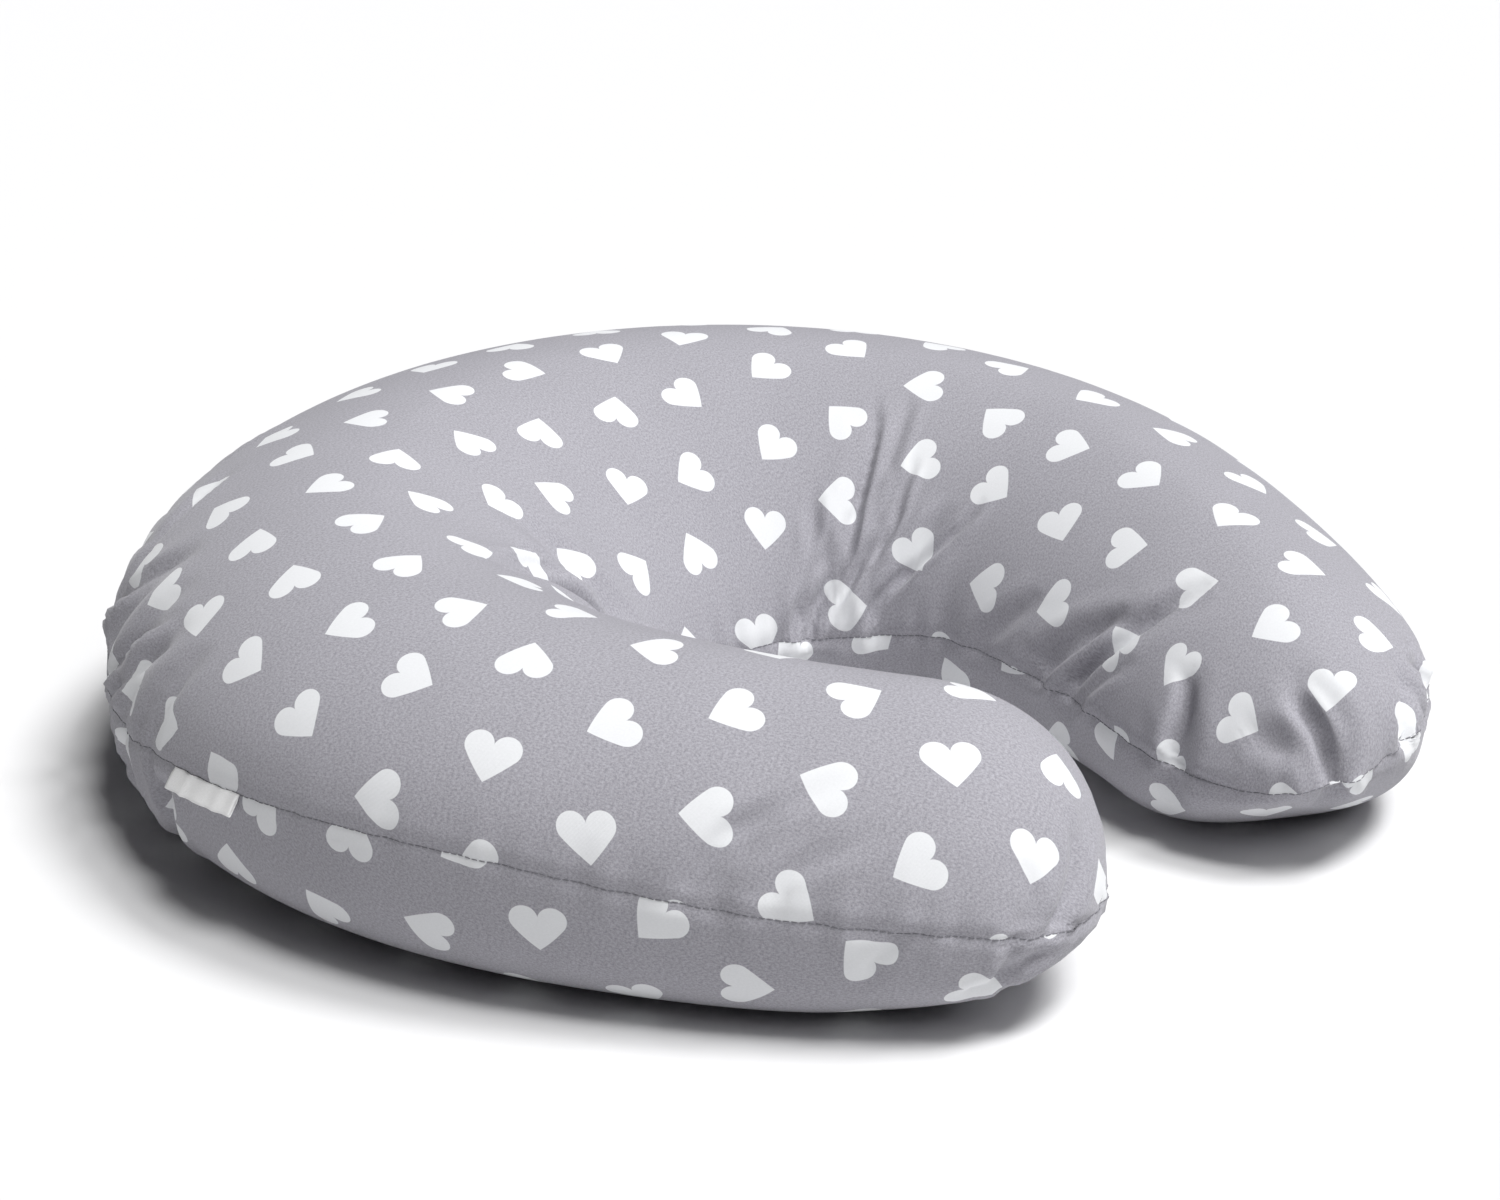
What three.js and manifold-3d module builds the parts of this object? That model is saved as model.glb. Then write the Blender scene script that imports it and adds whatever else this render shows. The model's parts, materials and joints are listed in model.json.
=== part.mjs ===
// Nursing pillow: a C-shaped stuffed cushion in a removable printed cotton cover with a long zip.
//
// Units are millimetres and +Z is up. The pillow lies on its flat underside, its waist opening faces
// -Y, and the finished group is moved so that its box is centred on X = Y = 0 and stands on Z = 0.
//
// One function, surfacePoint(), describes the whole cushion. Stations run along an arm's centreline
// from the middle of the back to the tip. A section at a station is a top and a bottom superellipse
// that meet at the seam: theta 0 is the outer seam, 90 the crown, 180 the inner seam, and negative
// angles are the underside. Each fabric layer is the same surface, inset by some millimetres.
// The pillow bends open at the middle of its back, so each layer has a left and a right piece there.

import * as THREE from 'three';
import Module from 'manifold-3d';
import { mergeVertices } from 'three/addons/utils/BufferGeometryUtils.js';

const DEGREE = Math.PI / 180;

// Plan of the cushion
const CENTRELINE_RADIUS = 191; // arc of the centreline around the waist hollow, about X = Y = 0
const CENTRELINE_TURN = 108 * DEGREE; // how far that arc runs to each side of the back's middle
const RIM_RADIUS = 302; // outer seam around the back, a true arc that the zip follows
const RIM_CENTRE_Y = 30;

// Section of the cushion
const BACK_HEIGHT = 158;
const MIDDLE_HEIGHT = 145; // halfway along an arm
const SEAM_HEIGHT = 69;
const INNER_SEAM_DROP = { back: 32, tip: 21, from: 220, to: 420 }; // inner seam below the outer one
const CROWN_LEAN = 0.15; // fuller on the outer side of the crown
const TOP_POWER = 1.7;
const BOTTOM_POWER = 3.1;
const FLAT_DEPTH = 3.5; // how far the underside is pressed flat by what it lies on
const TIP_LIFT_POWER = 2.2; // the underside rises towards a tip faster than the sides close

// The seam sinks towards a tip after a share of the arm, and rises and dips by waves along the left arm
const ARMS = {
  left: { side: -1, tipRadius: 407, tipTurn: 30.2 * DEGREE, tipHalfWidth: 89, tipHeight: 122,
    tipSeamDrop: 26, seamDropStart: 0.45, capLength: 84, capPower: 2.4,
    seamWaves: [{ height: -9, at: 185, reach: 52 }, { height: 6.5, at: 335, reach: 65 }] },
  right: { side: 1, tipRadius: 589, tipTurn: 24 * DEGREE, tipHalfWidth: 65, tipHeight: 96,
    tipSeamDrop: 22, seamDropStart: 0.8, capLength: 94, capPower: 2.0, seamWaves: [] },
};

// Fabric layers, as insets from the outside of the cushion
const COVER = { outer: 0, inner: 1.0 };
const TAPE = { outer: 1.5, inner: 2.1 };
const CASING = { outer: 4.0, inner: 4.8 };
const FILLING_INSET = 5.3;
const PANEL_GAP = 0.3; // between a top and a bottom piece, and between a left and a right one

// Sewing thread and labels
const THREAD_RADIUS = 0.4;
const THREAD_SIDES = 6;
const THREAD_STANDOFF = 0.8; // thread's middle, outside the cover's seam
const CASING_THREAD_INSET = 3.3;
const CASING_OPENING = { from: 24 * DEGREE, to: 54 * DEGREE }; // closed by hand after filling
const SIDE_LABEL = { from: 71.9 * DEGREE, to: 81.4 * DEGREE, top: 0.9, bottom: 11.4,
  outer: -1.3, inner: -0.5 };
const CARE_LABEL = { from: 74 * DEGREE, to: 79.5 * DEGREE, top: 1, bottom: 24, outer: 1.5, inner: 1.9 };

// Zip, on the right arm's outer seam. Angles are turned from +Y about the rim's centre.
const ZIP = { start: 10 * DEGREE, end: 72 * DEGREE, steps: 16 };
const SLOT_HALF_HEIGHT = 4;
const SLOT_END_MARGIN = 1; // along the centreline
const TAPE_EDGE = 0.7;
const TAPE_HEIGHT = 12.5;
const TAPE_END_MARGIN = 0.5;
const COIL = { low: 0.7, high: 2.7, outer: 0.4, inner: -1.2 }; // heights off the seam, radii off the rim
const COIL_START = 14.6 * DEGREE;
const COIL_END = 67.4 * DEGREE;
const STOP_LENGTH = 1.6;
const SLIDER_ANGLE = 17 * DEGREE;
const SLIDER = { length: 12, halfHeight: 3.6, plateInner: 0.75, plateOuter: 1.65, flange: 0.55,
  flangeInner: -1.15, webHalf: 0.3, footOuter: -2.45, footInner: -3.15 };
const BAIL = { length: 7, opening: 4.4, width: 1.6, openingTop: 3.25, top: 4.05 };
const PULL = { barRadius: 0.5, axisHeight: 2.45, armInner: 1.15, armOuter: 2.05, plateStart: 4.3,
  overlap: 1, length: 24, thickness: 1.0, holeRadius: 1.0, gripLength: 7, gripHalfHeight: 2.8 };

const COVER_TOP_ROWS = [0, 12, 27, 45, 67, 90, 113, 135, 153, 168, 180];
const COVER_BOTTOM_ROWS = COVER_TOP_ROWS.map((degrees) => -degrees);
const CASING_TOP_ROWS = [0, 25, 55, 90, 125, 155, 180];
const CASING_BOTTOM_ROWS = CASING_TOP_ROWS.map((degrees) => -degrees);
const FILLING_ROWS = [0, 25, 55, 90, 125, 155, 180, 205, 235, 270, 305, 335];
const STEPS = { arc: 12, arcPastZip: 4, straight: 5, cap: 6 };
const RIM_STEP = 3.5 * DEGREE;
const ROUND_SEGMENTS = 16;
const SQUEEZED = 1e-4; // corners closer than this are one corner
const MERGE_DISTANCE = 1e-3;

const wasm = await Module();
wasm.setup();

// ---------------------------------------------------------------- the cushion's surface

function rimDistance(phi) {
  const offset = RIM_CENTRE_Y * Math.sin(phi);
  return RIM_CENTRE_Y * Math.cos(phi) + Math.sqrt(RIM_RADIUS ** 2 - offset ** 2);
}

function armLength(arm) {
  return CENTRELINE_RADIUS * CENTRELINE_TURN + arm.tipRadius * arm.tipTurn;
}

// The parabola through three values, at the start, middle and end of the arm
function alongArm(start, middle, end, share) {
  const rest = 1 - share;
  return start * rest * (1 - 2 * share) + 4 * middle * share * rest + end * share * (2 * share - 1);
}

function smoothStep(value, from, to) {
  const share = Math.min(1, Math.max(0, (value - from) / (to - from)));
  return share * share * (3 - 2 * share);
}

function seamHeightAt(arm, distance) {
  const share = distance / armLength(arm);
  const sinking = Math.max(0, (share - arm.seamDropStart) / (1 - arm.seamDropStart));
  const wave = (sum, { height, at, reach }) => sum + height * Math.exp(-(((distance - at) / reach) ** 2));
  return arm.seamWaves.reduce(wave, SEAM_HEIGHT - arm.tipSeamDrop * sinking ** 2);
}

function innerSeamDropAt(distance) {
  const { back, tip, from, to } = INNER_SEAM_DROP;
  return back + (tip - back) * smoothStep(distance, from, to);
}

function halfWidthAt(arm, distance) {
  const arcLength = CENTRELINE_RADIUS * CENTRELINE_TURN;
  if (distance <= arcLength) {
    return rimDistance(distance / CENTRELINE_RADIUS) - CENTRELINE_RADIUS;
  }
  const step = 1e-4;
  const tipLength = armLength(arm) - arcLength;
  const startWidth = rimDistance(CENTRELINE_TURN) - CENTRELINE_RADIUS;
  const widthChange = rimDistance(CENTRELINE_TURN + step) - rimDistance(CENTRELINE_TURN - step);
  const slope = (widthChange / (2 * step) / CENTRELINE_RADIUS) * tipLength;
  const share = (distance - arcLength) / tipLength;
  return startWidth + slope * share + (arm.tipHalfWidth - startWidth - slope) * share ** 2;
}

function section(arm, nominal, inset) {
  const length = armLength(arm);
  const capStart = length - arm.capLength;
  const closed = Math.max(0, (nominal - capStart) / arm.capLength);
  const distance = nominal <= capStart ? nominal : capStart + closed * (arm.capLength - inset);
  const arcLength = CENTRELINE_RADIUS * CENTRELINE_TURN;
  const onArc = distance <= arcLength;
  const phi = onArc
    ? distance / CENTRELINE_RADIUS
    : CENTRELINE_TURN + (distance - arcLength) / arm.tipRadius;
  const radius = onArc ? CENTRELINE_RADIUS : arm.tipRadius;
  const centreShift = CENTRELINE_RADIUS - radius;
  return {
    phi,
    x: centreShift * Math.sin(CENTRELINE_TURN) + radius * Math.sin(phi),
    y: centreShift * Math.cos(CENTRELINE_TURN) + radius * Math.cos(phi),
    closing: Math.pow(Math.max(0, 1 - closed ** arm.capPower), 1 / arm.capPower),
    halfWidth: halfWidthAt(arm, distance) - inset,
    height: alongArm(BACK_HEIGHT, MIDDLE_HEIGHT, arm.tipHeight, distance / length),
    seam: seamHeightAt(arm, distance),
    innerSeamDrop: innerSeamDropAt(distance),
  };
}

function surfacePoint(arm, nominal, degrees, inset) {
  const at = section(arm, nominal, inset);
  const cosine = Math.cos(degrees * DEGREE);
  const sine = Math.sin(degrees * DEGREE);
  const onTop = sine >= 0;
  const power = onTop ? TOP_POWER : BOTTOM_POWER;
  const across = Math.sign(cosine) * Math.abs(cosine) ** (2 / power);
  const rise = Math.abs(sine) ** (2 / power);
  const seam = at.seam - at.innerSeamDrop * at.closing * (0.5 - across / 2);
  let z = seam + (at.height - inset - seam) * at.closing * rise * (1 + CROWN_LEAN * across);
  if (!onTop) {
    const depth = seam - inset;
    const above = depth * (1 - at.closing ** TIP_LIFT_POWER * rise);
    z = inset + Math.max(0, above - FLAT_DEPTH) * (depth / (depth - FLAT_DEPTH));
  }
  const reach = at.halfWidth * at.closing * across;
  const x = Math.max(at.x + Math.sin(at.phi) * reach, PANEL_GAP / 2);
  return new THREE.Vector3(arm.side * x, at.y + Math.cos(at.phi) * reach, z);
}

// ---------------------------------------------------------------- stations along an arm

function evenSteps(from, to, count) {
  return Array.from({ length: count }, (_, i) => from + ((to - from) * (i + 1)) / count);
}

function tipStations(arm) {
  const capStart = armLength(arm) - arm.capLength;
  const straight = evenSteps(CENTRELINE_RADIUS * CENTRELINE_TURN, capStart, STEPS.straight);
  const angles = evenSteps(0, 90 * DEGREE, STEPS.cap);
  const cap = angles.map((angle) => capStart + arm.capLength * Math.sin(angle));
  return [...straight, ...cap];
}

function plainStations(arm) {
  return [0, ...evenSteps(0, CENTRELINE_RADIUS * CENTRELINE_TURN, STEPS.arc), ...tipStations(arm)];
}

// The station whose section meets the rim at an angle about the rim's centre
function stationAtRim(angle) {
  const x = RIM_RADIUS * Math.sin(angle);
  const y = RIM_CENTRE_Y + RIM_RADIUS * Math.cos(angle);
  return CENTRELINE_RADIUS * Math.atan2(x, y);
}

function zipStations() {
  return [ZIP.start, ...evenSteps(ZIP.start, ZIP.end, ZIP.steps)].map(stationAtRim);
}

function zippedStations(arm) {
  const arcEnd = CENTRELINE_RADIUS * CENTRELINE_TURN;
  const pastZip = evenSteps(stationAtRim(ZIP.end), arcEnd, STEPS.arcPastZip);
  return [0, ...zipStations(), ...pastZip, ...tipStations(arm)];
}

const stations = {
  leftCover: plainStations(ARMS.left),
  rightCover: zippedStations(ARMS.right),
  leftCasing: plainStations(ARMS.left),
  rightCasing: plainStations(ARMS.right),
};

// A point on the flat facet next to the outer seam, at a height above it, or below where it is negative.
// Flat pieces that lie against a panel are laid out with this, so that they stay parallel to it.
function seamFacetPoint(arm, list, nominal, height, inset) {
  const next = Math.min(list.length - 1, Math.max(1, list.findIndex((station) => station >= nominal)));
  const share = (nominal - list[next - 1]) / (list[next] - list[next - 1]);
  const row = Math.sign(height || 1) * COVER_TOP_ROWS[1];
  const ends = [next - 1, next].map((index) => {
    const edge = surfacePoint(arm, list[index], 0, inset);
    const inner = surfacePoint(arm, list[index], row, inset);
    return edge.clone().lerp(inner, height / (inner.z - edge.z));
  });
  return ends[0].lerp(ends[1], share);
}

function stationsBetween(list, from, to) {
  return [from, ...list.filter((station) => station > from && station < to), to];
}

// ---------------------------------------------------------------- closed meshes

// Triangles from quads, with the ones that a tip squeezes to nothing left out
function closedGeometry(quads) {
  const positions = [];
  const addTriangle = (a, b, c) => {
    const shortest = Math.min(a.distanceTo(b), b.distanceTo(c), c.distanceTo(a));
    if (shortest > SQUEEZED) {
      positions.push(...a.toArray(), ...b.toArray(), ...c.toArray());
    }
  };
  for (const [a, b, c, d] of quads) {
    addTriangle(a, b, c);
    addTriangle(a, c, d);
  }
  if (signedVolume(positions) < 0) {
    turnFacesOver(positions);
  }
  const geometry = new THREE.BufferGeometry();
  geometry.setAttribute('position', new THREE.Float32BufferAttribute(positions, 3));
  return mergeVertices(geometry, MERGE_DISTANCE);
}

function signedVolume(positions) {
  const corner = (index) => new THREE.Vector3().fromArray(positions, index);
  let volume = 0;
  for (let i = 0; i < positions.length; i += 9) {
    volume += corner(i).dot(corner(i + 3).cross(corner(i + 6))) / 6;
  }
  return volume;
}

function turnFacesOver(positions) {
  for (let i = 0; i < positions.length; i += 9) {
    for (let axis = 0; axis < 3; axis += 1) {
      const kept = positions[i + axis];
      positions[i + axis] = positions[i + 3 + axis];
      positions[i + 3 + axis] = kept;
    }
  }
}

// The solid between two grids of points, closed all round their edges
function shell(outer, inner) {
  const quads = [];
  const lastRow = outer.length - 1;
  const lastColumn = outer[0].length - 1;
  for (let i = 0; i < lastRow; i += 1) {
    for (let j = 0; j < lastColumn; j += 1) {
      quads.push([outer[i][j], outer[i + 1][j], outer[i + 1][j + 1], outer[i][j + 1]]);
      quads.push([inner[i][j + 1], inner[i + 1][j + 1], inner[i + 1][j], inner[i][j]]);
    }
    quads.push([outer[i][0], inner[i][0], inner[i + 1][0], outer[i + 1][0]]);
    quads.push([outer[i + 1][lastColumn], inner[i + 1][lastColumn],
      inner[i][lastColumn], outer[i][lastColumn]]);
  }
  for (let j = 0; j < lastColumn; j += 1) {
    quads.push([outer[0][j + 1], inner[0][j + 1], inner[0][j], outer[0][j]]);
    quads.push([outer[lastRow][j], inner[lastRow][j], inner[lastRow][j + 1], outer[lastRow][j + 1]]);
  }
  return closedGeometry(quads);
}

// The solid inside a row of rings, with a fan of triangles over each end
function loft(rings) {
  const quads = [];
  const count = rings[0].length;
  for (let i = 0; i < rings.length - 1; i += 1) {
    for (let j = 0; j < count; j += 1) {
      const next = (j + 1) % count;
      quads.push([rings[i][j], rings[i + 1][j], rings[i + 1][next], rings[i][next]]);
    }
  }
  const total = (ring) => ring.reduce((sum, point) => sum.add(point), new THREE.Vector3());
  const middle = (ring) => total(ring).divideScalar(count);
  const first = rings[0];
  const last = rings[rings.length - 1];
  const firstMiddle = middle(first);
  const lastMiddle = middle(last);
  for (let j = 0; j < count; j += 1) {
    const next = (j + 1) % count;
    quads.push([firstMiddle, first[j], first[next], firstMiddle]);
    quads.push([lastMiddle, last[next], last[j], lastMiddle]);
  }
  return closedGeometry(quads);
}

function toManifold(geometry) {
  const bare = geometry.clone();
  bare.deleteAttribute('normal');
  bare.deleteAttribute('uv');
  const merged = mergeVertices(bare, SQUEEZED);
  const vertProperties = new Float32Array(merged.attributes.position.array);
  const triVerts = new Uint32Array(merged.index.array);
  return new wasm.Manifold(new wasm.Mesh({ numProp: 3, vertProperties, triVerts }));
}

function fromManifold(solid) {
  const mesh = solid.getMesh();
  const geometry = new THREE.BufferGeometry();
  geometry.setAttribute('position', new THREE.Float32BufferAttribute(mesh.vertProperties, 3));
  geometry.setIndex(Array.from(mesh.triVerts));
  return geometry;
}

// ---------------------------------------------------------------- fabric pieces

// One half of a casing or cover. lift(nominal) is how far its outer edge is turned back from the seam.
function panel(arm, list, rows, layer, lift) {
  const up = rows[1] > 0 ? 1 : -1;
  const grid = (inset) => list.map((nominal) => rows.map((degrees, index) => {
    const point = surfacePoint(arm, nominal, degrees, inset);
    point.z += up * (PANEL_GAP / 2 + (index === 0 ? lift(nominal) : 0));
    return point;
  }));
  return shell(grid(layer.outer), grid(layer.inner));
}

function noLift() {
  return 0;
}

// The edge is turned back from the zip along the slot and tapers to nothing at its ends
function zipLift(nominal) {
  const from = stationAtRim(ZIP.start) + SLOT_END_MARGIN;
  const to = stationAtRim(ZIP.end) - SLOT_END_MARGIN;
  return nominal > from && nominal < to ? SLOT_HALF_HEIGHT : 0;
}

function filling(arm, list) {
  const rings = list.map((nominal) => FILLING_ROWS.map((row) => {
    const degrees = row > 180 ? row - 360 : row;
    return surfacePoint(arm, nominal, degrees, FILLING_INSET);
  }));
  return loft(rings);
}

function seamPath(arm, list, from) {
  const outer = list.filter((nominal) => nominal >= from);
  const inner = list.slice(0, -1).reverse();
  return [
    ...outer.map((nominal) => surfacePoint(arm, nominal, 0, 0)),
    ...inner.map((nominal) => surfacePoint(arm, nominal, 180, 0)),
  ];
}

// A round thread along a level path, moved sideways by an offset
function thread(arm, path, offset) {
  const rings = path.map((point, index) => {
    const before = path[Math.max(0, index - 1)];
    const after = path[Math.min(path.length - 1, index + 1)];
    const along = after.clone().sub(before).setZ(0).normalize();
    const outward = new THREE.Vector3(-along.y, along.x, 0).multiplyScalar(arm.side);
    const centre = point.clone().addScaledVector(outward, offset);
    return Array.from({ length: THREAD_SIDES }, (_, side) => {
      const angle = (side / THREAD_SIDES) * 360 * DEGREE;
      return centre.clone()
        .addScaledVector(outward, THREAD_RADIUS * Math.cos(angle))
        .add(new THREE.Vector3(0, 0, THREAD_RADIUS * Math.sin(angle)));
    });
  });
  return loft(rings);
}

function casingThread(arm, list) {
  const from = CASING_OPENING.from * CENTRELINE_RADIUS;
  const to = CASING_OPENING.to * CENTRELINE_RADIUS;
  const path = stationsBetween(list, from, to).map((nominal) => seamFacetPoint(arm, list, nominal, 0, 0));
  return thread(arm, path, -CASING_THREAD_INSET);
}

// A flat piece against the panel next to the outer seam
function facetPatch(arm, list, from, to, heights, layer) {
  const grid = (inset) => stationsBetween(list, from, to)
    .map((nominal) => heights.map((height) => seamFacetPoint(arm, list, nominal, height, inset)));
  return shell(grid(layer.outer), grid(layer.inner));
}

function label(arm, list, size) {
  const from = size.from * CENTRELINE_RADIUS;
  const to = size.to * CENTRELINE_RADIUS;
  return facetPatch(arm, list, from, to, [-size.top, -size.bottom], size);
}

// The tape stands upright behind the coil, as high as the slot, and then follows the panel inwards
function zipTape(direction) {
  const list = stations.rightCover;
  const zip = zipStations();
  const along = stationsBetween(list, zip[1] + TAPE_END_MARGIN, zip[ZIP.steps - 1] - TAPE_END_MARGIN);
  const grid = (inset) => along.map((nominal) => {
    const upright = [TAPE_EDGE, SLOT_HALF_HEIGHT].map((height) => {
      const point = surfacePoint(ARMS.right, nominal, 0, inset);
      return point.setZ(point.z + direction * height);
    });
    return [...upright, seamFacetPoint(ARMS.right, list, nominal, direction * TAPE_HEIGHT, inset)];
  });
  return shell(grid(TAPE.outer), grid(TAPE.inner));
}

// ---------------------------------------------------------------- zip hardware

function rimPoint(angle, radialOffset, height) {
  const radius = RIM_RADIUS + radialOffset;
  return new THREE.Vector3(
    radius * Math.sin(angle), RIM_CENTRE_Y + radius * Math.cos(angle), SEAM_HEIGHT + height);
}

// A bar of the coil's section along the rim, between two angles and two heights
function rimBar(from, to, low, high) {
  const steps = Math.max(1, Math.round((to - from) / RIM_STEP));
  const angles = [from, ...evenSteps(from, to, steps)];
  const column = (angle, radial) => [low, high].map((height) => rimPoint(angle, radial, height));
  const grid = (radial) => angles.map((angle) => column(angle, radial));
  return shell(grid(COIL.outer), grid(COIL.inner));
}

function box(minX, maxX, minY, maxY, minZ, maxZ) {
  const geometry = new THREE.BoxGeometry(maxX - minX, maxY - minY, maxZ - minZ);
  return toManifold(geometry.translate((minX + maxX) / 2, (minY + maxY) / 2, (minZ + maxZ) / 2));
}

// X runs along the zip towards its open end, Y out of the cushion and Z up
function zipSlider() {
  const end = SLIDER.length / 2;
  const top = SLIDER.halfHeight;
  const plate = box(-end, end, SLIDER.plateInner, SLIDER.plateOuter, -top, top);
  const web = box(-end, end, SLIDER.footInner, SLIDER.plateOuter, -SLIDER.webHalf, SLIDER.webHalf);
  const foot = box(-end, end, SLIDER.footInner, SLIDER.footOuter, -top, top);
  const upperFlange = box(-end, end, SLIDER.flangeInner, SLIDER.plateOuter, top - SLIDER.flange, top);
  const lowerFlange = box(-end, end, SLIDER.flangeInner, SLIDER.plateOuter, -top, SLIDER.flange - top);
  const arch = box(-BAIL.length / 2, BAIL.length / 2, SLIDER.plateInner, BAIL.top,
    -BAIL.width / 2, BAIL.width / 2);
  const window = box(-BAIL.opening / 2, BAIL.opening / 2, SLIDER.plateOuter, BAIL.openingTop,
    -BAIL.width, BAIL.width);
  const body = [web, foot, upperFlange, lowerFlange].reduce((solid, part) => solid.add(part), plate);
  return fromManifold(body.add(arch.subtract(window)));
}

// X runs from the hinge bar to the grip, and the bar's axis is Z through X = Y = 0
function zipPull() {
  const half = PULL.thickness / 2;
  const bar = new THREE.CylinderGeometry(
    PULL.barRadius, PULL.barRadius, 2 * PULL.armOuter, ROUND_SEGMENTS);
  const armEnd = PULL.plateStart + PULL.overlap;
  const upperArm = box(-half, armEnd, -half, half, PULL.armInner, PULL.armOuter);
  const lowerArm = box(-half, armEnd, -half, half, -PULL.armOuter, -PULL.armInner);
  const plate = box(PULL.plateStart, PULL.length, -half, half, -PULL.armOuter, PULL.armOuter);
  const grip = box(PULL.length - PULL.gripLength, PULL.length, -half, half, -PULL.gripHalfHeight,
    PULL.gripHalfHeight);
  const hole = new THREE.CylinderGeometry(
    PULL.holeRadius, PULL.holeRadius, 2 * PULL.thickness, ROUND_SEGMENTS);
  hole.translate(PULL.length - PULL.gripLength / 2, 0, 0);
  const solid = toManifold(bar.rotateX(90 * DEGREE)).add(upperArm).add(lowerArm).add(plate).add(grip);
  return fromManifold(solid.subtract(toManifold(hole)));
}

// ---------------------------------------------------------------- materials and assembly

const materials = {
  cover: new THREE.MeshStandardMaterial({ color: 0x9c9ea4, roughness: 0.9, metalness: 0 }),
  coverThread: new THREE.MeshStandardMaterial({ color: 0x55575c, roughness: 0.8, metalness: 0 }),
  label: new THREE.MeshStandardMaterial({ color: 0xf4f4f2, roughness: 0.7, metalness: 0 }),
  casing: new THREE.MeshStandardMaterial({ color: 0xf1f0ec, roughness: 0.9, metalness: 0 }),
  filling: new THREE.MeshStandardMaterial({ color: 0xfafaf8, roughness: 1, metalness: 0 }),
  zipTape: new THREE.MeshStandardMaterial({ color: 0x8f9197, roughness: 0.85, metalness: 0 }),
  zipCoil: new THREE.MeshStandardMaterial({ color: 0x8a8c92, roughness: 0.4, metalness: 0 }),
  zipMetal: new THREE.MeshStandardMaterial({ color: 0xb9bbbf, roughness: 0.3, metalness: 1 }),
};

const pillow = new THREE.Group();

function addPiece(name, geometry, material) {
  const mesh = new THREE.Mesh(geometry, material);
  mesh.name = name;
  pillow.add(mesh);
  return mesh;
}

function placeOnRim(mesh, angle, radialOffset) {
  mesh.position.copy(rimPoint(angle, radialOffset, 0));
  mesh.rotation.z = -angle;
}

for (const side of ['left', 'right']) {
  const arm = ARMS[side];
  const coverStations = stations[`${side}Cover`];
  const casingStations = stations[`${side}Casing`];
  const lift = side === 'right' ? zipLift : noLift;
  addPiece(`cover_top_panel_${side}`,
    panel(arm, coverStations, COVER_TOP_ROWS, COVER, lift), materials.cover);
  addPiece(`cover_bottom_panel_${side}`,
    panel(arm, coverStations, COVER_BOTTOM_ROWS, COVER, lift), materials.cover);
  addPiece(`casing_top_panel_${side}`,
    panel(arm, casingStations, CASING_TOP_ROWS, CASING, noLift), materials.casing);
  addPiece(`casing_bottom_panel_${side}`,
    panel(arm, casingStations, CASING_BOTTOM_ROWS, CASING, noLift), materials.casing);
  addPiece(`filling_${side}`, filling(arm, casingStations), materials.filling);
}

const leftSeam = seamPath(ARMS.left, stations.leftCover, 0);
const rightSeam = seamPath(ARMS.right, stations.rightCover, stationAtRim(ZIP.end));
const backSeam = [0, stationAtRim(ZIP.start)].map((nominal) => surfacePoint(ARMS.right, nominal, 0, 0));
addPiece('cover_seam_thread_left', thread(ARMS.left, leftSeam, THREAD_STANDOFF), materials.coverThread);
addPiece('cover_seam_thread_right', thread(ARMS.right, rightSeam, THREAD_STANDOFF), materials.coverThread);
addPiece('cover_seam_thread_back', thread(ARMS.right, backSeam, THREAD_STANDOFF), materials.coverThread);
addPiece('casing_closing_thread', casingThread(ARMS.left, stations.leftCasing), materials.label);
addPiece('side_label', label(ARMS.left, stations.leftCover, SIDE_LABEL), materials.label);
addPiece('care_label', label(ARMS.right, stations.rightCover, CARE_LABEL), materials.label);

addPiece('zip_tape_upper', zipTape(1), materials.zipTape);
addPiece('zip_tape_lower', zipTape(-1), materials.zipTape);
addPiece('zip_coil_upper', rimBar(COIL_START, COIL_END, COIL.low, COIL.high), materials.zipCoil);
addPiece('zip_coil_lower', rimBar(COIL_START, COIL_END, -COIL.high, -COIL.low), materials.zipCoil);

const gapAngle = PANEL_GAP / RIM_RADIUS;
const stopAngle = STOP_LENGTH / RIM_RADIUS;
const topStop = { from: COIL_START - gapAngle - stopAngle, to: COIL_START - gapAngle };
const bottomStop = { from: COIL_END + gapAngle, to: COIL_END + gapAngle + stopAngle };
addPiece('zip_top_stop_upper', rimBar(topStop.from, topStop.to, COIL.low, COIL.high), materials.zipMetal);
addPiece('zip_top_stop_lower', rimBar(topStop.from, topStop.to, -COIL.high, -COIL.low), materials.zipMetal);
addPiece('zip_bottom_stop',
  rimBar(bottomStop.from, bottomStop.to, -COIL.high, COIL.high), materials.zipMetal);

placeOnRim(addPiece('zip_slider', zipSlider(), materials.zipMetal), SLIDER_ANGLE, 0);
placeOnRim(addPiece('zip_pull_tab', zipPull(), materials.zipMetal), SLIDER_ANGLE, PULL.axisHeight);

const bounds = new THREE.Box3().setFromObject(pillow);
const middle = bounds.getCenter(new THREE.Vector3());
pillow.position.set(-middle.x, -middle.y, -bounds.min.z);

export default pillow;
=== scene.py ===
"""Looks of the nursing pillow: a stuffed C-shaped cushion in a grey cotton cover printed with white hearts.

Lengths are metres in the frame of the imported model. One formula gives the cushion's surface, with the same
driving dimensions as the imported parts. A station is a distance along an arm's centreline from the middle of
the back, side is -1 on the left arm and 1 on the right one, and face is 1 for the top panel and -1 for the
bottom one. A share runs across a panel from 0 at the inner seam to 1 at the outer seam.
"""

import json
import math

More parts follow.
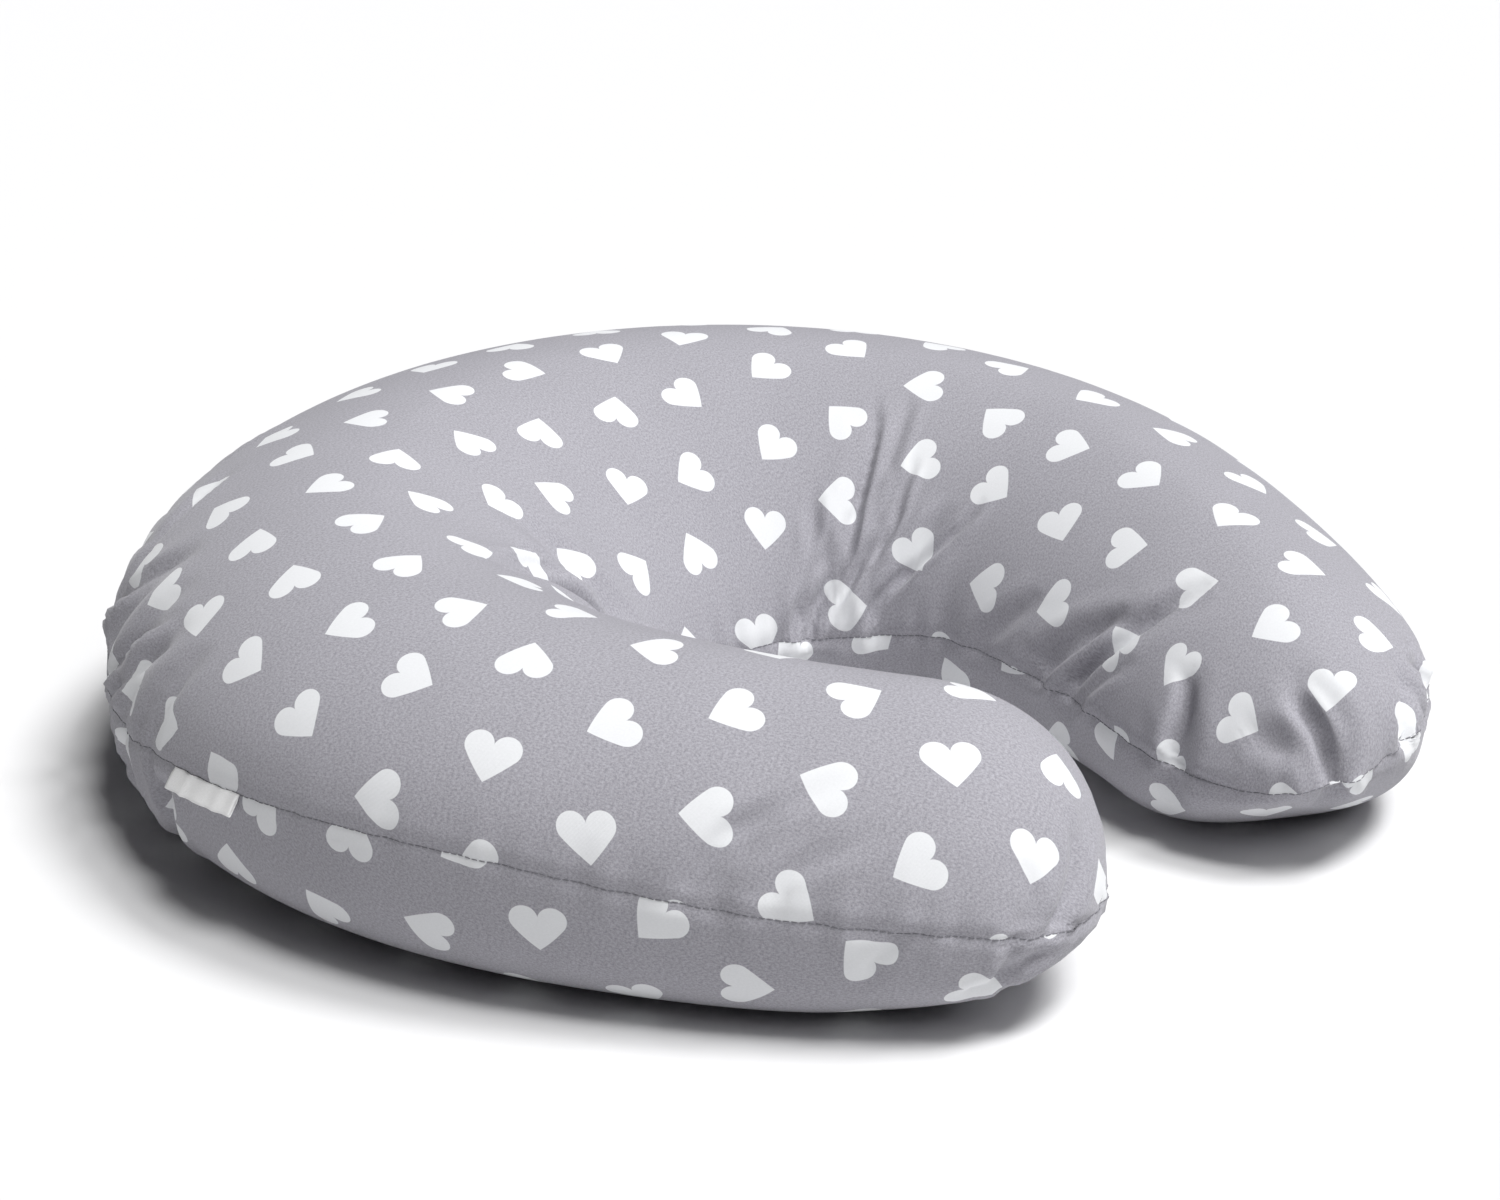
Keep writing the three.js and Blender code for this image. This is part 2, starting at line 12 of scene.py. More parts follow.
import bpy
import numpy as np
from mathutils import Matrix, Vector

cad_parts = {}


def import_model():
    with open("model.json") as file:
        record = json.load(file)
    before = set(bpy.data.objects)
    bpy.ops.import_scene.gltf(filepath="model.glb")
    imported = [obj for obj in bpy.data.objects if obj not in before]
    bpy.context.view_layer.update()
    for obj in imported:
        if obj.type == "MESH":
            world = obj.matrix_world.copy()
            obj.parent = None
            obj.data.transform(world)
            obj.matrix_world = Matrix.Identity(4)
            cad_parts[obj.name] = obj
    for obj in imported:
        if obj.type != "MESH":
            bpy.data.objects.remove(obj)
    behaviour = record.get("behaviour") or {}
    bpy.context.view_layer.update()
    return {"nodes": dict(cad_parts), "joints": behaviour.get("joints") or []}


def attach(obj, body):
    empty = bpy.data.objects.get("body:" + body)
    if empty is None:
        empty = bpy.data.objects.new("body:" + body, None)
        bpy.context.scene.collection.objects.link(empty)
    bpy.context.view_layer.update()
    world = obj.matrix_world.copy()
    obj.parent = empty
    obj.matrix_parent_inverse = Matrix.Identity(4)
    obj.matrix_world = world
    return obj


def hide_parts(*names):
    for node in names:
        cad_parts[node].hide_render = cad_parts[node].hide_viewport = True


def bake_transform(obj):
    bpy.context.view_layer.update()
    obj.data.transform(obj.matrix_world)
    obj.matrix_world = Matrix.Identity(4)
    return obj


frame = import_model()
joint_place = {joint["name"]: np.array(joint["pos_m"]) for joint in frame["joints"]}

MM = 0.001

# ---------------------------------------------------------------- driving dimensions

CENTRELINE_RADIUS = 0.191
CENTRELINE_TURN = math.radians(108)
ARC_LENGTH = CENTRELINE_RADIUS * CENTRELINE_TURN
RIM_RADIUS = 0.302
RIM_CENTRE_Y = 0.030
BACK_HEIGHT = 0.158
MIDDLE_HEIGHT = 0.145
SEAM_HEIGHT = 0.069
INNER_SEAM_DROP = dict(back=0.032, tip=0.021, start=0.220, end=0.420)
CROWN_LEAN = 0.15
TOP_POWER = 1.7
BOTTOM_POWER = 3.1
FLAT_DEPTH = 0.0035
TIP_LIFT_POWER = 2.2
ARMS = {
    -1: dict(tip_radius=0.407, tip_turn=math.radians(30.2), tip_half_width=0.089, tip_height=0.122,
             seam_drop=0.026, drop_start=0.45, cap=0.084, power=2.4,
             seam_waves=[(-0.009, 0.185, 0.052), (0.0065, 0.335, 0.065)]),
    1: dict(tip_radius=0.589, tip_turn=math.radians(24), tip_half_width=0.065, tip_height=0.096,
            seam_drop=0.022, drop_start=0.8, cap=0.094, power=2.0, seam_waves=[]),
}
RIM_CENTRE = joint_place["zip_slide"]
SHIFT = RIM_CENTRE - np.array([0, RIM_CENTRE_Y, SEAM_HEIGHT])

# Zip, in angles about the rim's centre from the middle of the back
ZIP_START = math.radians(10)
ZIP_END = math.radians(72)
SLOT_HALF = 0.004
COIL_START = math.radians(14.6)
COIL_END = math.radians(67.4)
TEETH_PITCH = 0.0015
CARE_LABEL_ANGLE = math.radians(76.8)
SIDE_LABEL_START = math.radians(71.9)
SIDE_LABEL_END = math.radians(81.4)


# ---------------------------------------------------------------- small helpers

def smoothstep(value, low, high):
    share = np.clip((value - low) / (high - low), 0, 1)
    return share * share * (3 - 2 * share)


def signed_power(value, power):
    return np.sign(value) * np.abs(value) ** power


def unit(vectors):
    return vectors / np.maximum(np.linalg.norm(vectors, axis=-1, keepdims=True), 1e-12)


def lengths_along(line):
    """How far along a line each of its points is."""
    return np.concatenate([[0], np.cumsum(np.linalg.norm(np.diff(line, axis=0), axis=1))])


def border(shape, width=1):
    """True on the outermost rows and columns of a grid."""
    marked = np.ones(shape, bool)
    marked[width:-width, width:-width] = False
    return marked


def quads(numbers):
    corners = [numbers[:-1, :-1], numbers[1:, :-1], numbers[1:, 1:], numbers[:-1, 1:]]
    return np.stack(corners, -1).reshape(-1, 4)


def normals_of(points, faces):
    across = points[faces[:, 2]] - points[faces[:, 0]]
    other = points[faces[:, 3]] - points[faces[:, 1]]
    total = np.zeros_like(points)
    for corner in range(4):
        np.add.at(total, faces[:, corner], np.cross(across, other))
    return unit(total)


def closed_grid(rows, columns):
    """Numbers the points of two panels that share those on their edges: the numbers by face, how many points
    there are, and the faces."""
    count = rows * columns
    inner = ~border((rows, columns))
    top = np.arange(count).reshape(rows, columns)
    bottom = top.copy()
    bottom[inner] = count + np.arange(inner.sum())
    faces = np.concatenate([quads(top), quads(bottom)[:, ::-1]])
    return {1: top, -1: bottom}, count + int(inner.sum()), faces


# ---------------------------------------------------------------- the cushion's surface

def rim_distance(phi):
    offset = RIM_CENTRE_Y * np.sin(phi)
    return RIM_CENTRE_Y * np.cos(phi) + np.sqrt(RIM_RADIUS ** 2 - offset ** 2)


def arm_length(arm):
    return ARC_LENGTH + arm["tip_radius"] * arm["tip_turn"]


def cap_start_of(arm):
    return arm_length(arm) - arm["cap"]


def closing_of(arm, closed):
    """How wide and high a section of the cap is: 1 at the cap's start and 0 at the tip."""
    return np.clip(1 - closed ** arm["power"], 0, 1) ** (1 / arm["power"])


def parabola(start, middle, end, share):
    rest = 1 - share
    return start * rest * (1 - 2 * share) + 4 * middle * share * rest + end * share * (2 * share - 1)


def half_width_at(arm, distance):
    step = 1e-4
    tip_length = arm_length(arm) - ARC_LENGTH
    start = rim_distance(CENTRELINE_TURN) - CENTRELINE_RADIUS
    rate = (rim_distance(CENTRELINE_TURN + step) - rim_distance(CENTRELINE_TURN - step)) / (2 * step)
    slope = rate / CENTRELINE_RADIUS * tip_length
    share = np.clip((distance - ARC_LENGTH) / tip_length, 0, 1)
    on_tip = start + slope * share + (arm["tip_half_width"] - start - slope) * share ** 2
    on_arc = rim_distance(np.minimum(distance, ARC_LENGTH) / CENTRELINE_RADIUS) - CENTRELINE_RADIUS
    return np.where(distance <= ARC_LENGTH, on_arc, on_tip)


def heading(arm, distance):
    """The turn of the centreline at a distance along it."""
    beyond = (distance - ARC_LENGTH) / arm["tip_radius"]
    return np.where(distance <= ARC_LENGTH, distance / CENTRELINE_RADIUS, CENTRELINE_TURN + beyond)


def outer_seam_height(arm, distance):
    sinking = np.clip((distance / arm_length(arm) - arm["drop_start"]) / (1 - arm["drop_start"]), 0, 1)
    height = SEAM_HEIGHT - arm["seam_drop"] * sinking ** 2
    for wave, middle, reach in arm["seam_waves"]:
        height = height + wave * np.exp(-((distance - middle) / reach) ** 2)
    return height


def inner_seam_drop(distance):
    drop = INNER_SEAM_DROP
    return drop["back"] + (drop["tip"] - drop["back"]) * smoothstep(distance, drop["start"], drop["end"])


def surface(side, station, theta, inset=0.0):
    """Points of the surface. theta is 0 at the outer seam, positive on top and pi at the inner seam."""
    station, theta = np.broadcast_arrays(np.asarray(station, float), np.asarray(theta, float))
    arm = ARMS[side]
    cap_start = cap_start_of(arm)
    closed = np.clip((station - cap_start) / arm["cap"], 0, 1)
    distance = np.where(station <= cap_start, station, cap_start + closed * (arm["cap"] - inset))
    phi = heading(arm, distance)
    radius = np.where(distance <= ARC_LENGTH, CENTRELINE_RADIUS, arm["tip_radius"])
    shift = CENTRELINE_RADIUS - radius
    closing = closing_of(arm, closed)
    height = parabola(BACK_HEIGHT, MIDDLE_HEIGHT, arm["tip_height"], distance / arm_length(arm)) - inset
    cosine, sine = np.cos(theta), np.sin(theta)
    power = np.where(sine >= 0, TOP_POWER, BOTTOM_POWER)
    across = signed_power(cosine, 2 / power)
    rise = np.abs(sine) ** (2 / power)
    seam = outer_seam_height(arm, distance) - inner_seam_drop(distance) * closing * (0.5 - across / 2)
    top = seam + (height - seam) * closing * rise * (1 + CROWN_LEAN * across)
    depth = seam - inset
    above = depth * (1 - closing ** TIP_LIFT_POWER * rise)
    bottom = inset + np.maximum(0, above - FLAT_DEPTH) * depth / (depth - FLAT_DEPTH)
    reach = (half_width_at(arm, distance) - inset) * closing * across
    x = shift * math.sin(CENTRELINE_TURN) + radius * np.sin(phi) + np.sin(phi) * reach
    y = shift * math.cos(CENTRELINE_TURN) + radius * np.cos(phi) + np.cos(phi) * reach
    return np.stack([side * x, y, np.where(sine >= 0, top, bottom)], -1) + SHIFT


def station_at_rim(angle):
    x = RIM_RADIUS * np.sin(angle)
    y = RIM_CENTRE_Y + RIM_RADIUS * np.cos(angle)
    return CENTRELINE_RADIUS * np.arctan2(x, y)


def rim_angle(points):
    return np.arctan2(points[..., 0] - RIM_CENTRE[0], points[..., 1] - RIM_CENTRE[1])


def rim_point(angle, outward=0.0, up=0.0):
    radius = RIM_RADIUS + outward
    flat = np.stack([radius * np.sin(angle), radius * np.cos(angle), np.zeros_like(radius * angle) + up], -1)
    return RIM_CENTRE + flat


# ---------------------------------------------------------------- tables across the panels

MAIN_SECTIONS = 140
CAP_SECTIONS = 60
SHARES = 241
FINE_ANGLES = 901
CAP_PATH_POINTS = 61
LAST_CAP_SHARE = 0.99  # how far the cap's sections go towards the tip, where they close


def section_stations(arm):
    """Stations for the tables, closer together towards the tip, where the surface turns down."""
    cap_start = cap_start_of(arm)
    turned = np.linspace(0, LAST_CAP_SHARE, CAP_SECTIONS + 1)
    return np.concatenate([np.linspace(0, cap_start, MAIN_SECTIONS, endpoint=False),
                           cap_start + arm["cap"] * (1 - (1 - turned) ** 2)])


def section_at(arm, station):
    """Which section a station is at, with the share of the way to the next one."""
    cap_start = cap_start_of(arm)
    closed = np.clip((station - cap_start) / arm["cap"], 0, 1)
    turned = np.minimum((1 - np.sqrt(1 - closed)) / LAST_CAP_SHARE, 1)
    return np.minimum(station / cap_start, 1) * MAIN_SECTIONS + turned * CAP_SECTIONS


def cap_reach(side, face, stations, angles, crown):
    """How far ahead and sideways of the crown the cap's points lie on the flat cloth. Each keeps its
    direction and its distance along the cloth. The crown is a section angle at the cap's start."""
    arm = ARMS[side]
    cap_start = cap_start_of(arm)
    power = TOP_POWER if face > 0 else BOTTOM_POWER

    def half_at(station):
        return half_width_at(arm, station) * closing_of(arm, (station - cap_start) / arm["cap"])

    def offset_at(station, theta):
        return half_at(station) * signed_power(np.cos(theta), 2 / power)

    share = np.sin(np.linspace(0, math.pi / 2, CAP_PATH_POINTS))[:, None, None]
    start = offset_at(cap_start, crown)
    ahead = stations[:, None] - cap_start
    sideways = offset_at(stations[:, None], angles) - start
    station = cap_start + share * ahead
    across = np.clip((start + share * sideways) / half_at(station), -1, 1)
    theta = face * np.arccos(signed_power(across, power / 2))
    travelled = np.linalg.norm(np.diff(surface(side, station, theta), axis=0), axis=-1).sum(0)
    stretch = travelled / np.hypot(ahead, sideways)
    return ahead * stretch, sideways * stretch


def table_of(side, face):
    """Section angles, and places on the flat cloth that the panel was cut from, by station and share."""
    arm = ARMS[side]
    stations = section_stations(arm)
    sections = len(stations)
    fine = np.linspace(math.pi, 0, FINE_ANGLES) * face
    shares = np.linspace(0, 1, SHARES)
    points = surface(side, stations[:, None], fine[None, :])
    steps = np.linalg.norm(np.diff(points, axis=1), axis=2)
    arcs = np.concatenate([np.zeros((sections, 1)), np.cumsum(steps, axis=1)], 1)
    angles = np.array([np.interp(shares, row / row[-1], fine) for row in arcs])
    even = surface(side, stations[:, None], angles)
    widths = arcs[:, -1]
    along = np.linalg.norm(np.diff(even, axis=0), axis=2)
    sideways = (shares - 0.5)[None, :] * np.diff(widths)[:, None]
    along = np.sqrt(np.maximum(along ** 2 - sideways ** 2, 0))
    flat = np.zeros((sections, SHARES, 2))
    middle, turn = np.zeros(2), 0.0
    for k in range(MAIN_SECTIONS + 1):
        if k:
            bend = (along[k - 1, -1] - along[k - 1, 0]) / widths[k - 1]
            turn += bend
            ahead = np.array([math.cos(turn - bend / 2), -math.sin(turn - bend / 2)])
            middle = middle + ahead * along[k - 1].mean()
        across = np.array([math.sin(turn), math.cos(turn)])
        flat[k] = middle + np.outer((shares - 0.5) * widths[k], across)
    ahead = np.array([math.cos(turn), -math.sin(turn)])
    cap = slice(MAIN_SECTIONS + 1, sections)
    forward, sideways = cap_reach(side, face, stations[cap], angles[cap], angles[MAIN_SECTIONS, SHARES // 2])
    flat[cap] = middle + forward[..., None] * ahead + sideways[..., None] * across
    flat[..., 0] *= side
    return dict(arm=arm, angles=angles, flat=flat)


tables = {(side, face): table_of(side, face) for side in (-1, 1) for face in (1, -1)}


def read_table(table, name, station, share):
    values = table[name]
    row = np.clip(section_at(table["arm"], station), 0, len(values) - 1.001)
    column = np.clip(share * (SHARES - 1), 0, SHARES - 1.001)
    i, j = row.astype(int), column.astype(int)
    u, v = row - i, column - j
    if values.ndim == 3:
        u, v = u[..., None], v[..., None]
    near = values[i, j] * (1 - v) + values[i, j + 1] * v
    far = values[i + 1, j] * (1 - v) + values[i + 1, j + 1] * v
    return near * (1 - u) + far * u


def on_panel(side, face, station, share, inset=0.0):
    station, share = np.broadcast_arrays(np.asarray(station, float), np.asarray(share, float))
    theta = read_table(tables[side, face], "angles", station, share)
    return surface(side, station, theta, inset)


def even_count(length, step):
    return 2 * round(length / step / 2)


def arm_grid(side, limits, steps, columns):
    """Stations and shares of a grid over one arm, with its own step between each two limits. Its last rows
    bend round the tip, so that it ends on the seam."""
    arm = ARMS[side]
    cap_start = cap_start_of(arm)
    cap_rows = even_count(arm["cap"], steps[-1])
    v = np.linspace(-1, 1, columns + 1)
    main = [np.linspace(start, end, even_count(end - start, step), endpoint=False)
            for start, end, step in zip([0, *limits], [*limits, cap_start], steps)]
    stations = [np.full(columns + 1, station) for station in np.append(np.concatenate(main), cap_start)]
    crossings = [v.copy() for _ in stations]
    for i in range(1, cap_rows + 1):
        ring = i / cap_rows
        u = ring * np.sqrt(1 - v ** 2 / 2)
        w = v * np.sqrt(1 - ring ** 2 / 2)
        angle, radius = np.arctan2(w, u), np.hypot(u, w)
        power = arm["power"]
        squarer = (np.abs(np.cos(angle)) ** power + np.abs(np.sin(angle)) ** power) ** (-1 / power)
        ahead = np.minimum(radius * squarer * np.cos(angle), 0.99999)
        sideways = radius * squarer * np.sin(angle)
        crossing = np.clip(sideways / closing_of(arm, ahead), -1, 1)
        if i == cap_rows:
            crossing = np.sign(v)
        stations.append(cap_start + arm["cap"] * ahead)
        crossings.append(crossing)
    return np.array(stations), (np.array(crossings) + 1) / 2


class Cushion:
    """A closed grid over both panels. Row 0 is the left tip and the last row the right tip."""

    def __init__(self, spacing, columns):
        grids = {side: arm_grid(side, *spacing[side], columns) for side in (-1, 1)}
        self.rows = len(grids[-1][0]) + len(grids[1][0]) - 1
        self.columns = columns + 1
        left_rows = len(grids[-1][0]) - 1
        self.side = np.where(np.arange(self.rows) < left_rows, -1, 1)
        self.station = np.concatenate([grids[-1][0][1:][::-1], grids[1][0]])
        self.share = np.concatenate([grids[-1][1][1:][::-1], grids[1][1]])
        parts = [(side, self.station[self.side == side], self.share[self.side == side]) for side in (-1, 1)]
        fitted, self.flat = {}, {}
        for face in (1, -1):
            fitted[face] = np.concatenate([on_panel(side, face, *places) for side, *places in parts])
            self.flat[face] = np.concatenate([read_table(tables[side, face], "flat", *places)
                                              for side, *places in parts])
        self.number, count, self.faces = closed_grid(self.rows, self.columns)
        self.points = np.zeros((count, 3))
        for face in (-1, 1):
            self.points[self.number[face]] = fitted[face]

    def seam_loop(self):
        """The numbers of the seam's points, in order round the whole seam."""
        top = self.number[1]
        return np.concatenate([top[:, -1], top[-1, -2::-1], top[-2::-1, 0], top[0, 1:-1]])


# ---------------------------------------------------------------- folds, puckers and the seam's groove

# Broad folds, which the cloth starts with: face, depth, half width, lean, and the corners of the fold's line.
# Depths, widths and stations are in millimetres, and stations on the left arm are negative.
FOLDS = [
    (1, 9.0, 8.0, 0, [(-252, 0.42), (-225, 0.32), (-203, 0.23), (-193, 0.16), (-189, 0.08), (-188, 0.0)]),
    (1, 3.5, 8.0, 0, [(-133, 0.38), (-141, 0.26), (-152, 0.17), (-168, 0.07)]),
    (1, 2.0, 7.0, 0, [(226, 0.38), (234, 0.27), (238, 0.16), (230, 0.10), (205, 0.02)]),
    (1, 1.8, 7.0, 0, [(270, 0.24), (273, 0.17), (261, 0.12), (242, 0.07), (222, 0.01)]),
    (1, 2.0, 7.0, 0, [(334, 0.20), (318, 0.17), (306, 0.12), (297, 0.07), (276, 0.01)]),
    (1, 2.2, 5.0, 0, [(184, 0.22), (210, 0.14), (215, 0.08), (196, 0.04), (164, 0.01)]),
    (1, 2.0, 5.0, 0, [(318, 0.24), (306, 0.18), (294, 0.10)]),
    (1, 4.5, 8.0, 0, [(508, 0.40), (502, 0.29), (495, 0.20), (487, 0.11), (474, 0.01)]),
    (1, 4.5, 6.5, 0, [(482, 0.23), (463, 0.12), (444, 0.02)]),
    (1, 3.0, 6.0, 0, [(421, 0.16), (408, 0.08), (392, 0.01)]),
    (1, 3.5, 7.0, 0, [(540, 0.26), (556, 0.14), (563, 0.06), (565, 0.0)]),
    (-1, 2.4, 7.0, 0, [(565, 0.01), (563, 0.06), (556, 0.13)]),
    (1, 3.5, 7.0, 0, [(570, 0.46), (590, 0.50), (601, 0.55), (606, 0.60)]),
    (-1, 5.0, 6.0, 0, [(606, 0.60), (600, 0.58), (590, 0.55)]),
    (1, 4.5, 5.0, 0, [(556, 0.78), (574, 0.88), (588, 0.97)]),
    (1, 3.5, 5.0, 0, [(536, 0.86), (552, 0.94), (560, 0.99)]),
    (1, 3.0, 6.0, 0, [(582, 0.20), (594, 0.30), (602, 0.38)]),
    (1, 3.0, 7.0, 0, [(-66, 0.70), (-80, 0.80), (-84, 0.92)]),
    (1, 4.0, 7.0, 0, [(-106, 0.74), (-124, 0.80), (-136, 0.88), (-140, 0.97)]),
    (1, 3.5, 8.0, 0, [(-168, 0.76), (-164, 0.84), (-161, 0.91), (-158, 0.98)]),
    (1, 3.0, 7.0, 0, [(-190, 0.78), (-184, 0.89), (-180, 0.98)]),
    (1, 3.0, 7.0, 0, [(-208, 0.82), (-201, 0.91), (-196, 0.99)]),
    (1, 3.5, 6.0, 0, [(-229, 0.83), (-225, 0.92), (-221, 0.99)]),
    (-1, 4.5, 6.5, 0, [(-232, 0.98), (-229, 0.92), (-218, 0.80)]),
    (-1, 4.5, 7.0, 0, [(-196, 0.98), (-200, 0.89), (-212, 0.78)]),
    (-1, 4.0, 7.0, 0, [(-160, 0.98), (-168, 0.88), (-176, 0.78)]),
    (1, 3.0, 8.0, 0, [(-450, 0.83), (-440, 0.88), (-431, 0.93), (-424, 0.99)]),
    (1, 1.8, 7.0, 0, [(-470, 0.84), (-453, 0.92), (-441, 0.98)]),
    (1, 4.0, 4.5, 0, [(-562, 0.70), (-557, 0.82), (-552, 0.92), (-546, 0.99)]),
    (-1, 3.0, 5.0, 0, [(-546, 0.98), (-534, 0.92), (-516, 0.84)]),
    (1, 3.0, 6.0, 0, [(-556, 0.20), (-562, 0.10), (-560, 0.02)]),
    (-1, 4.0, 8.0, 0, [(205, 0.02), (212, 0.08), (216, 0.16)]),
    (-1, 4.0, 8.0, 0, [(-250, 0.02), (-256, 0.10), (-258, 0.18)]),
]
# Sharper creases in the same form, pressed in once the cloth has settled. A lean of 1 puts the whole ridge on
# the left of the line, seen from outside, and -1 on its right.
CREASES = [
    (1, 3.4, 2.8, 0.8,
     [(222, 0.42), (232, 0.33), (235, 0.22), (237, 0.15), (230, 0.10), (214, 0.05), (198, 0.0)]),
    (1, 2.4, 2.6, 0.5, [(228, 0.20), (226, 0.14), (216, 0.09), (204, 0.04), (190, 0.0)]),
    (1, 2.2, 2.8, 0.7, [(216, 0.17), (212, 0.13), (203, 0.10), (192, 0.05), (172, 0.0)]),
    (1, 2.8, 2.8, 0.8, [(262, 0.20), (252, 0.13), (241, 0.08), (222, 0.04), (204, 0.0)]),
    (1, 2.2, 2.6, 0.6, [(268, 0.31), (270, 0.25), (272, 0.19), (264, 0.13)]),
    (1, 2.4, 3.0, 0.8, [(338, 0.27), (335, 0.22), (322, 0.16), (300, 0.11), (272, 0.05)]),
    (1, 2.0, 3.0, 0.6, [(316, 0.12), (304, 0.10), (288, 0.06), (262, 0.01)]),
    (1, 1.8, 3.6, 0.4, [(244, 0.43), (248, 0.35), (250, 0.28)]),
    (1, 1.6, 3.2, 0.5, [(262, 0.28), (262, 0.23), (258, 0.18)]),
    (1, 1.8, 3.2, 0.4, [(192, 0.24), (196, 0.16), (190, 0.09), (178, 0.04)]),
    (1, 4.0, 4.2, 0.8, [(504, 0.42), (499, 0.34), (497, 0.26), (493, 0.18), (484, 0.10), (474, 0.02)]),
    (1, 3.2, 4.0, 0.8, [(486, 0.24), (476, 0.19), (469, 0.12), (459, 0.06), (450, 0.01)]),
    (1, 2.2, 3.6, 0.6, [(512, 0.17), (505, 0.11), (495, 0.05), (488, 0.01)]),
    (1, 4.2, 3.6, -0.7, [(543, 0.23), (550, 0.19), (556, 0.13), (559, 0.07), (561, 0.02)]),
    (-1, 1.6, 5.0, 0.0, [(566, 0.12), (563, 0.07), (561, 0.02)]),
    (1, 5.0, 3.8, 0.9, [(580, 0.42), (586, 0.44), (592, 0.46), (598, 0.48), (605, 0.54)]),
    (-1, 4.5, 3.8, -0.9, [(586, 0.62), (594, 0.61), (600, 0.59), (605, 0.56)]),
    (1, 3.4, 3.6, 0.6, [(572, 0.84), (580, 0.88), (585, 0.93), (588, 0.99)]),
    (1, 3.6, 3.6, 0.5, [(552, 0.84), (553, 0.88), (551, 0.93), (548, 0.99)]),
    (1, 2.6, 3.4, 0.4, [(566, 0.86), (569, 0.92), (570, 0.99)]),
    (1, 3.6, 3.6, 0.7, [(-170, 0.77), (-162, 0.82), (-153, 0.88), (-146, 0.93), (-140, 0.99)]),
    (1, 2.6, 3.2, 0.7, [(-162, 0.85), (-152, 0.90), (-146, 0.94), (-140, 0.98)]),
    (1, 4.0, 3.4, 0.8, [(-200, 0.82), (-191, 0.87), (-180, 0.93), (-167, 0.99)]),
    (1, 3.0, 3.2, 0.7, [(-208, 0.86), (-200, 0.90), (-190, 0.95), (-180, 0.99)]),
    (1, 3.4, 3.2, 0.6, [(-222, 0.85), (-219, 0.90), (-216, 0.95), (-213, 0.99)]),
    (1, 2.8, 3.2, 0.5, [(-128, 0.84), (-124, 0.90), (-120, 0.99)]),
    (1, 2.6, 3.2, 0.5, [(-106, 0.84), (-104, 0.90), (-101, 0.99)]),
    (-1, 3.4, 3.6, 0.5, [(-182, 0.88), (-190, 0.93), (-198, 0.99)]),
    (-1, 3.6, 3.2, 0.6, [(-226, 0.88), (-226, 0.93), (-222, 0.99)]),
    (-1, 2.8, 3.4, 0.5, [(-160, 0.88), (-166, 0.93), (-172, 0.99)]),
    (1, 3.4, 3.4, -0.6, [(-224, 0.37), (-206, 0.32), (-188, 0.28), (-172, 0.24), (-163, 0.18), (-160, 0.10)]),
    (1, 2.4, 3.2, -0.6, [(-188, 0.34), (-172, 0.29), (-158, 0.22), (-150, 0.14)]),
    (1, 2.0, 4.0, 0.6, [(-470, 0.76), (-458, 0.80), (-445, 0.84), (-433, 0.88), (-426, 0.93), (-420, 0.99)]),
    (1, 1.6, 4.0, 0.6, [(-484, 0.83), (-474, 0.87), (-464, 0.90), (-455, 0.93), (-450, 0.98)]),
    (1, 2.4, 3.6, 0.6, [(-549, 0.74), (-553, 0.79), (-555, 0.86), (-550, 0.94), (-543, 0.99)]),
    (1, 1.6, 3.4, 0.5, [(-534, 0.86), (-536, 0.90), (-537, 0.94), (-533, 0.98)]),
    (-1, 2.2, 4.0, 0.5, [(-478, 0.86), (-484, 0.92), (-490, 0.96), (-496, 0.99)]),
    (-1, 2.0, 4.0, 0.5, [(-530, 0.78), (-528, 0.88), (-530, 0.98)]),
]
# Places where the cloth is drawn up, or down: side, face, station, share, height and reach in millimetres
PULLS = [(1, 1, 590, 0.80, 10, 26), (-1, 1, 205, 1.0, -3, 12), (-1, 1, 150, 1.0, 3, 14),
         (-1, -1, 545, 0.72, 9, 42), (-1, -1, 500, 0.80, 5, 38), (-1, 1, 548, 1.0, -2.5, 30)]
GROOVE_DEPTH = 0.8 * MM
GROOVE_WIDTH = 3.0 * MM
BULGE_HEIGHT = 0.3 * MM
GROOVE_TO_BULGE = 2.2  # the seam's bulge is as many groove widths from the seam
PUCKER_HEIGHT = 0.55 * MM
PUCKER_REACH = 16 * MM
PUCKER_SPACINGS = (13 * MM, 19 * MM, 31 * MM)
FOLD_REACH = 160 * MM  # no fold is felt further from its middle than this, along X, Y or Z
RIDGE_SHARE = 0.35  # of the fold's depth
RIDGE_PLACE = 1.9  # half widths from the fold's line
RIDGE_WIDTH = 0.8
LEAN_SHARPNESS = 3
FOLD_START = 0.35  # share of its line in which a fold deepens
FOLD_END = 0.12  # share of its line in which it ends, at FOLD_END_DEPTH of its depth
FOLD_END_DEPTH = 0.4


def curve_through(corners, per_span=8):
    """A smooth line through a few points (Catmull-Rom)."""
    padded = np.concatenate([[2 * corners[0] - corners[1]], corners, [2 * corners[-1] - corners[-2]]])
    line = []
    for a, b, c, d in zip(padded[:-3], padded[1:-2], padded[2:-1], padded[3:]):
        for t in np.linspace(0, 1, per_span, endpoint=False):
            spread = 2 * a - 5 * b + 4 * c - d
            line.append(0.5 * (2 * b + (c - a) * t + spread * t ** 2 + (3 * b - 3 * c + d - a) * t ** 3))
    return np.array(line + [corners[-1]])


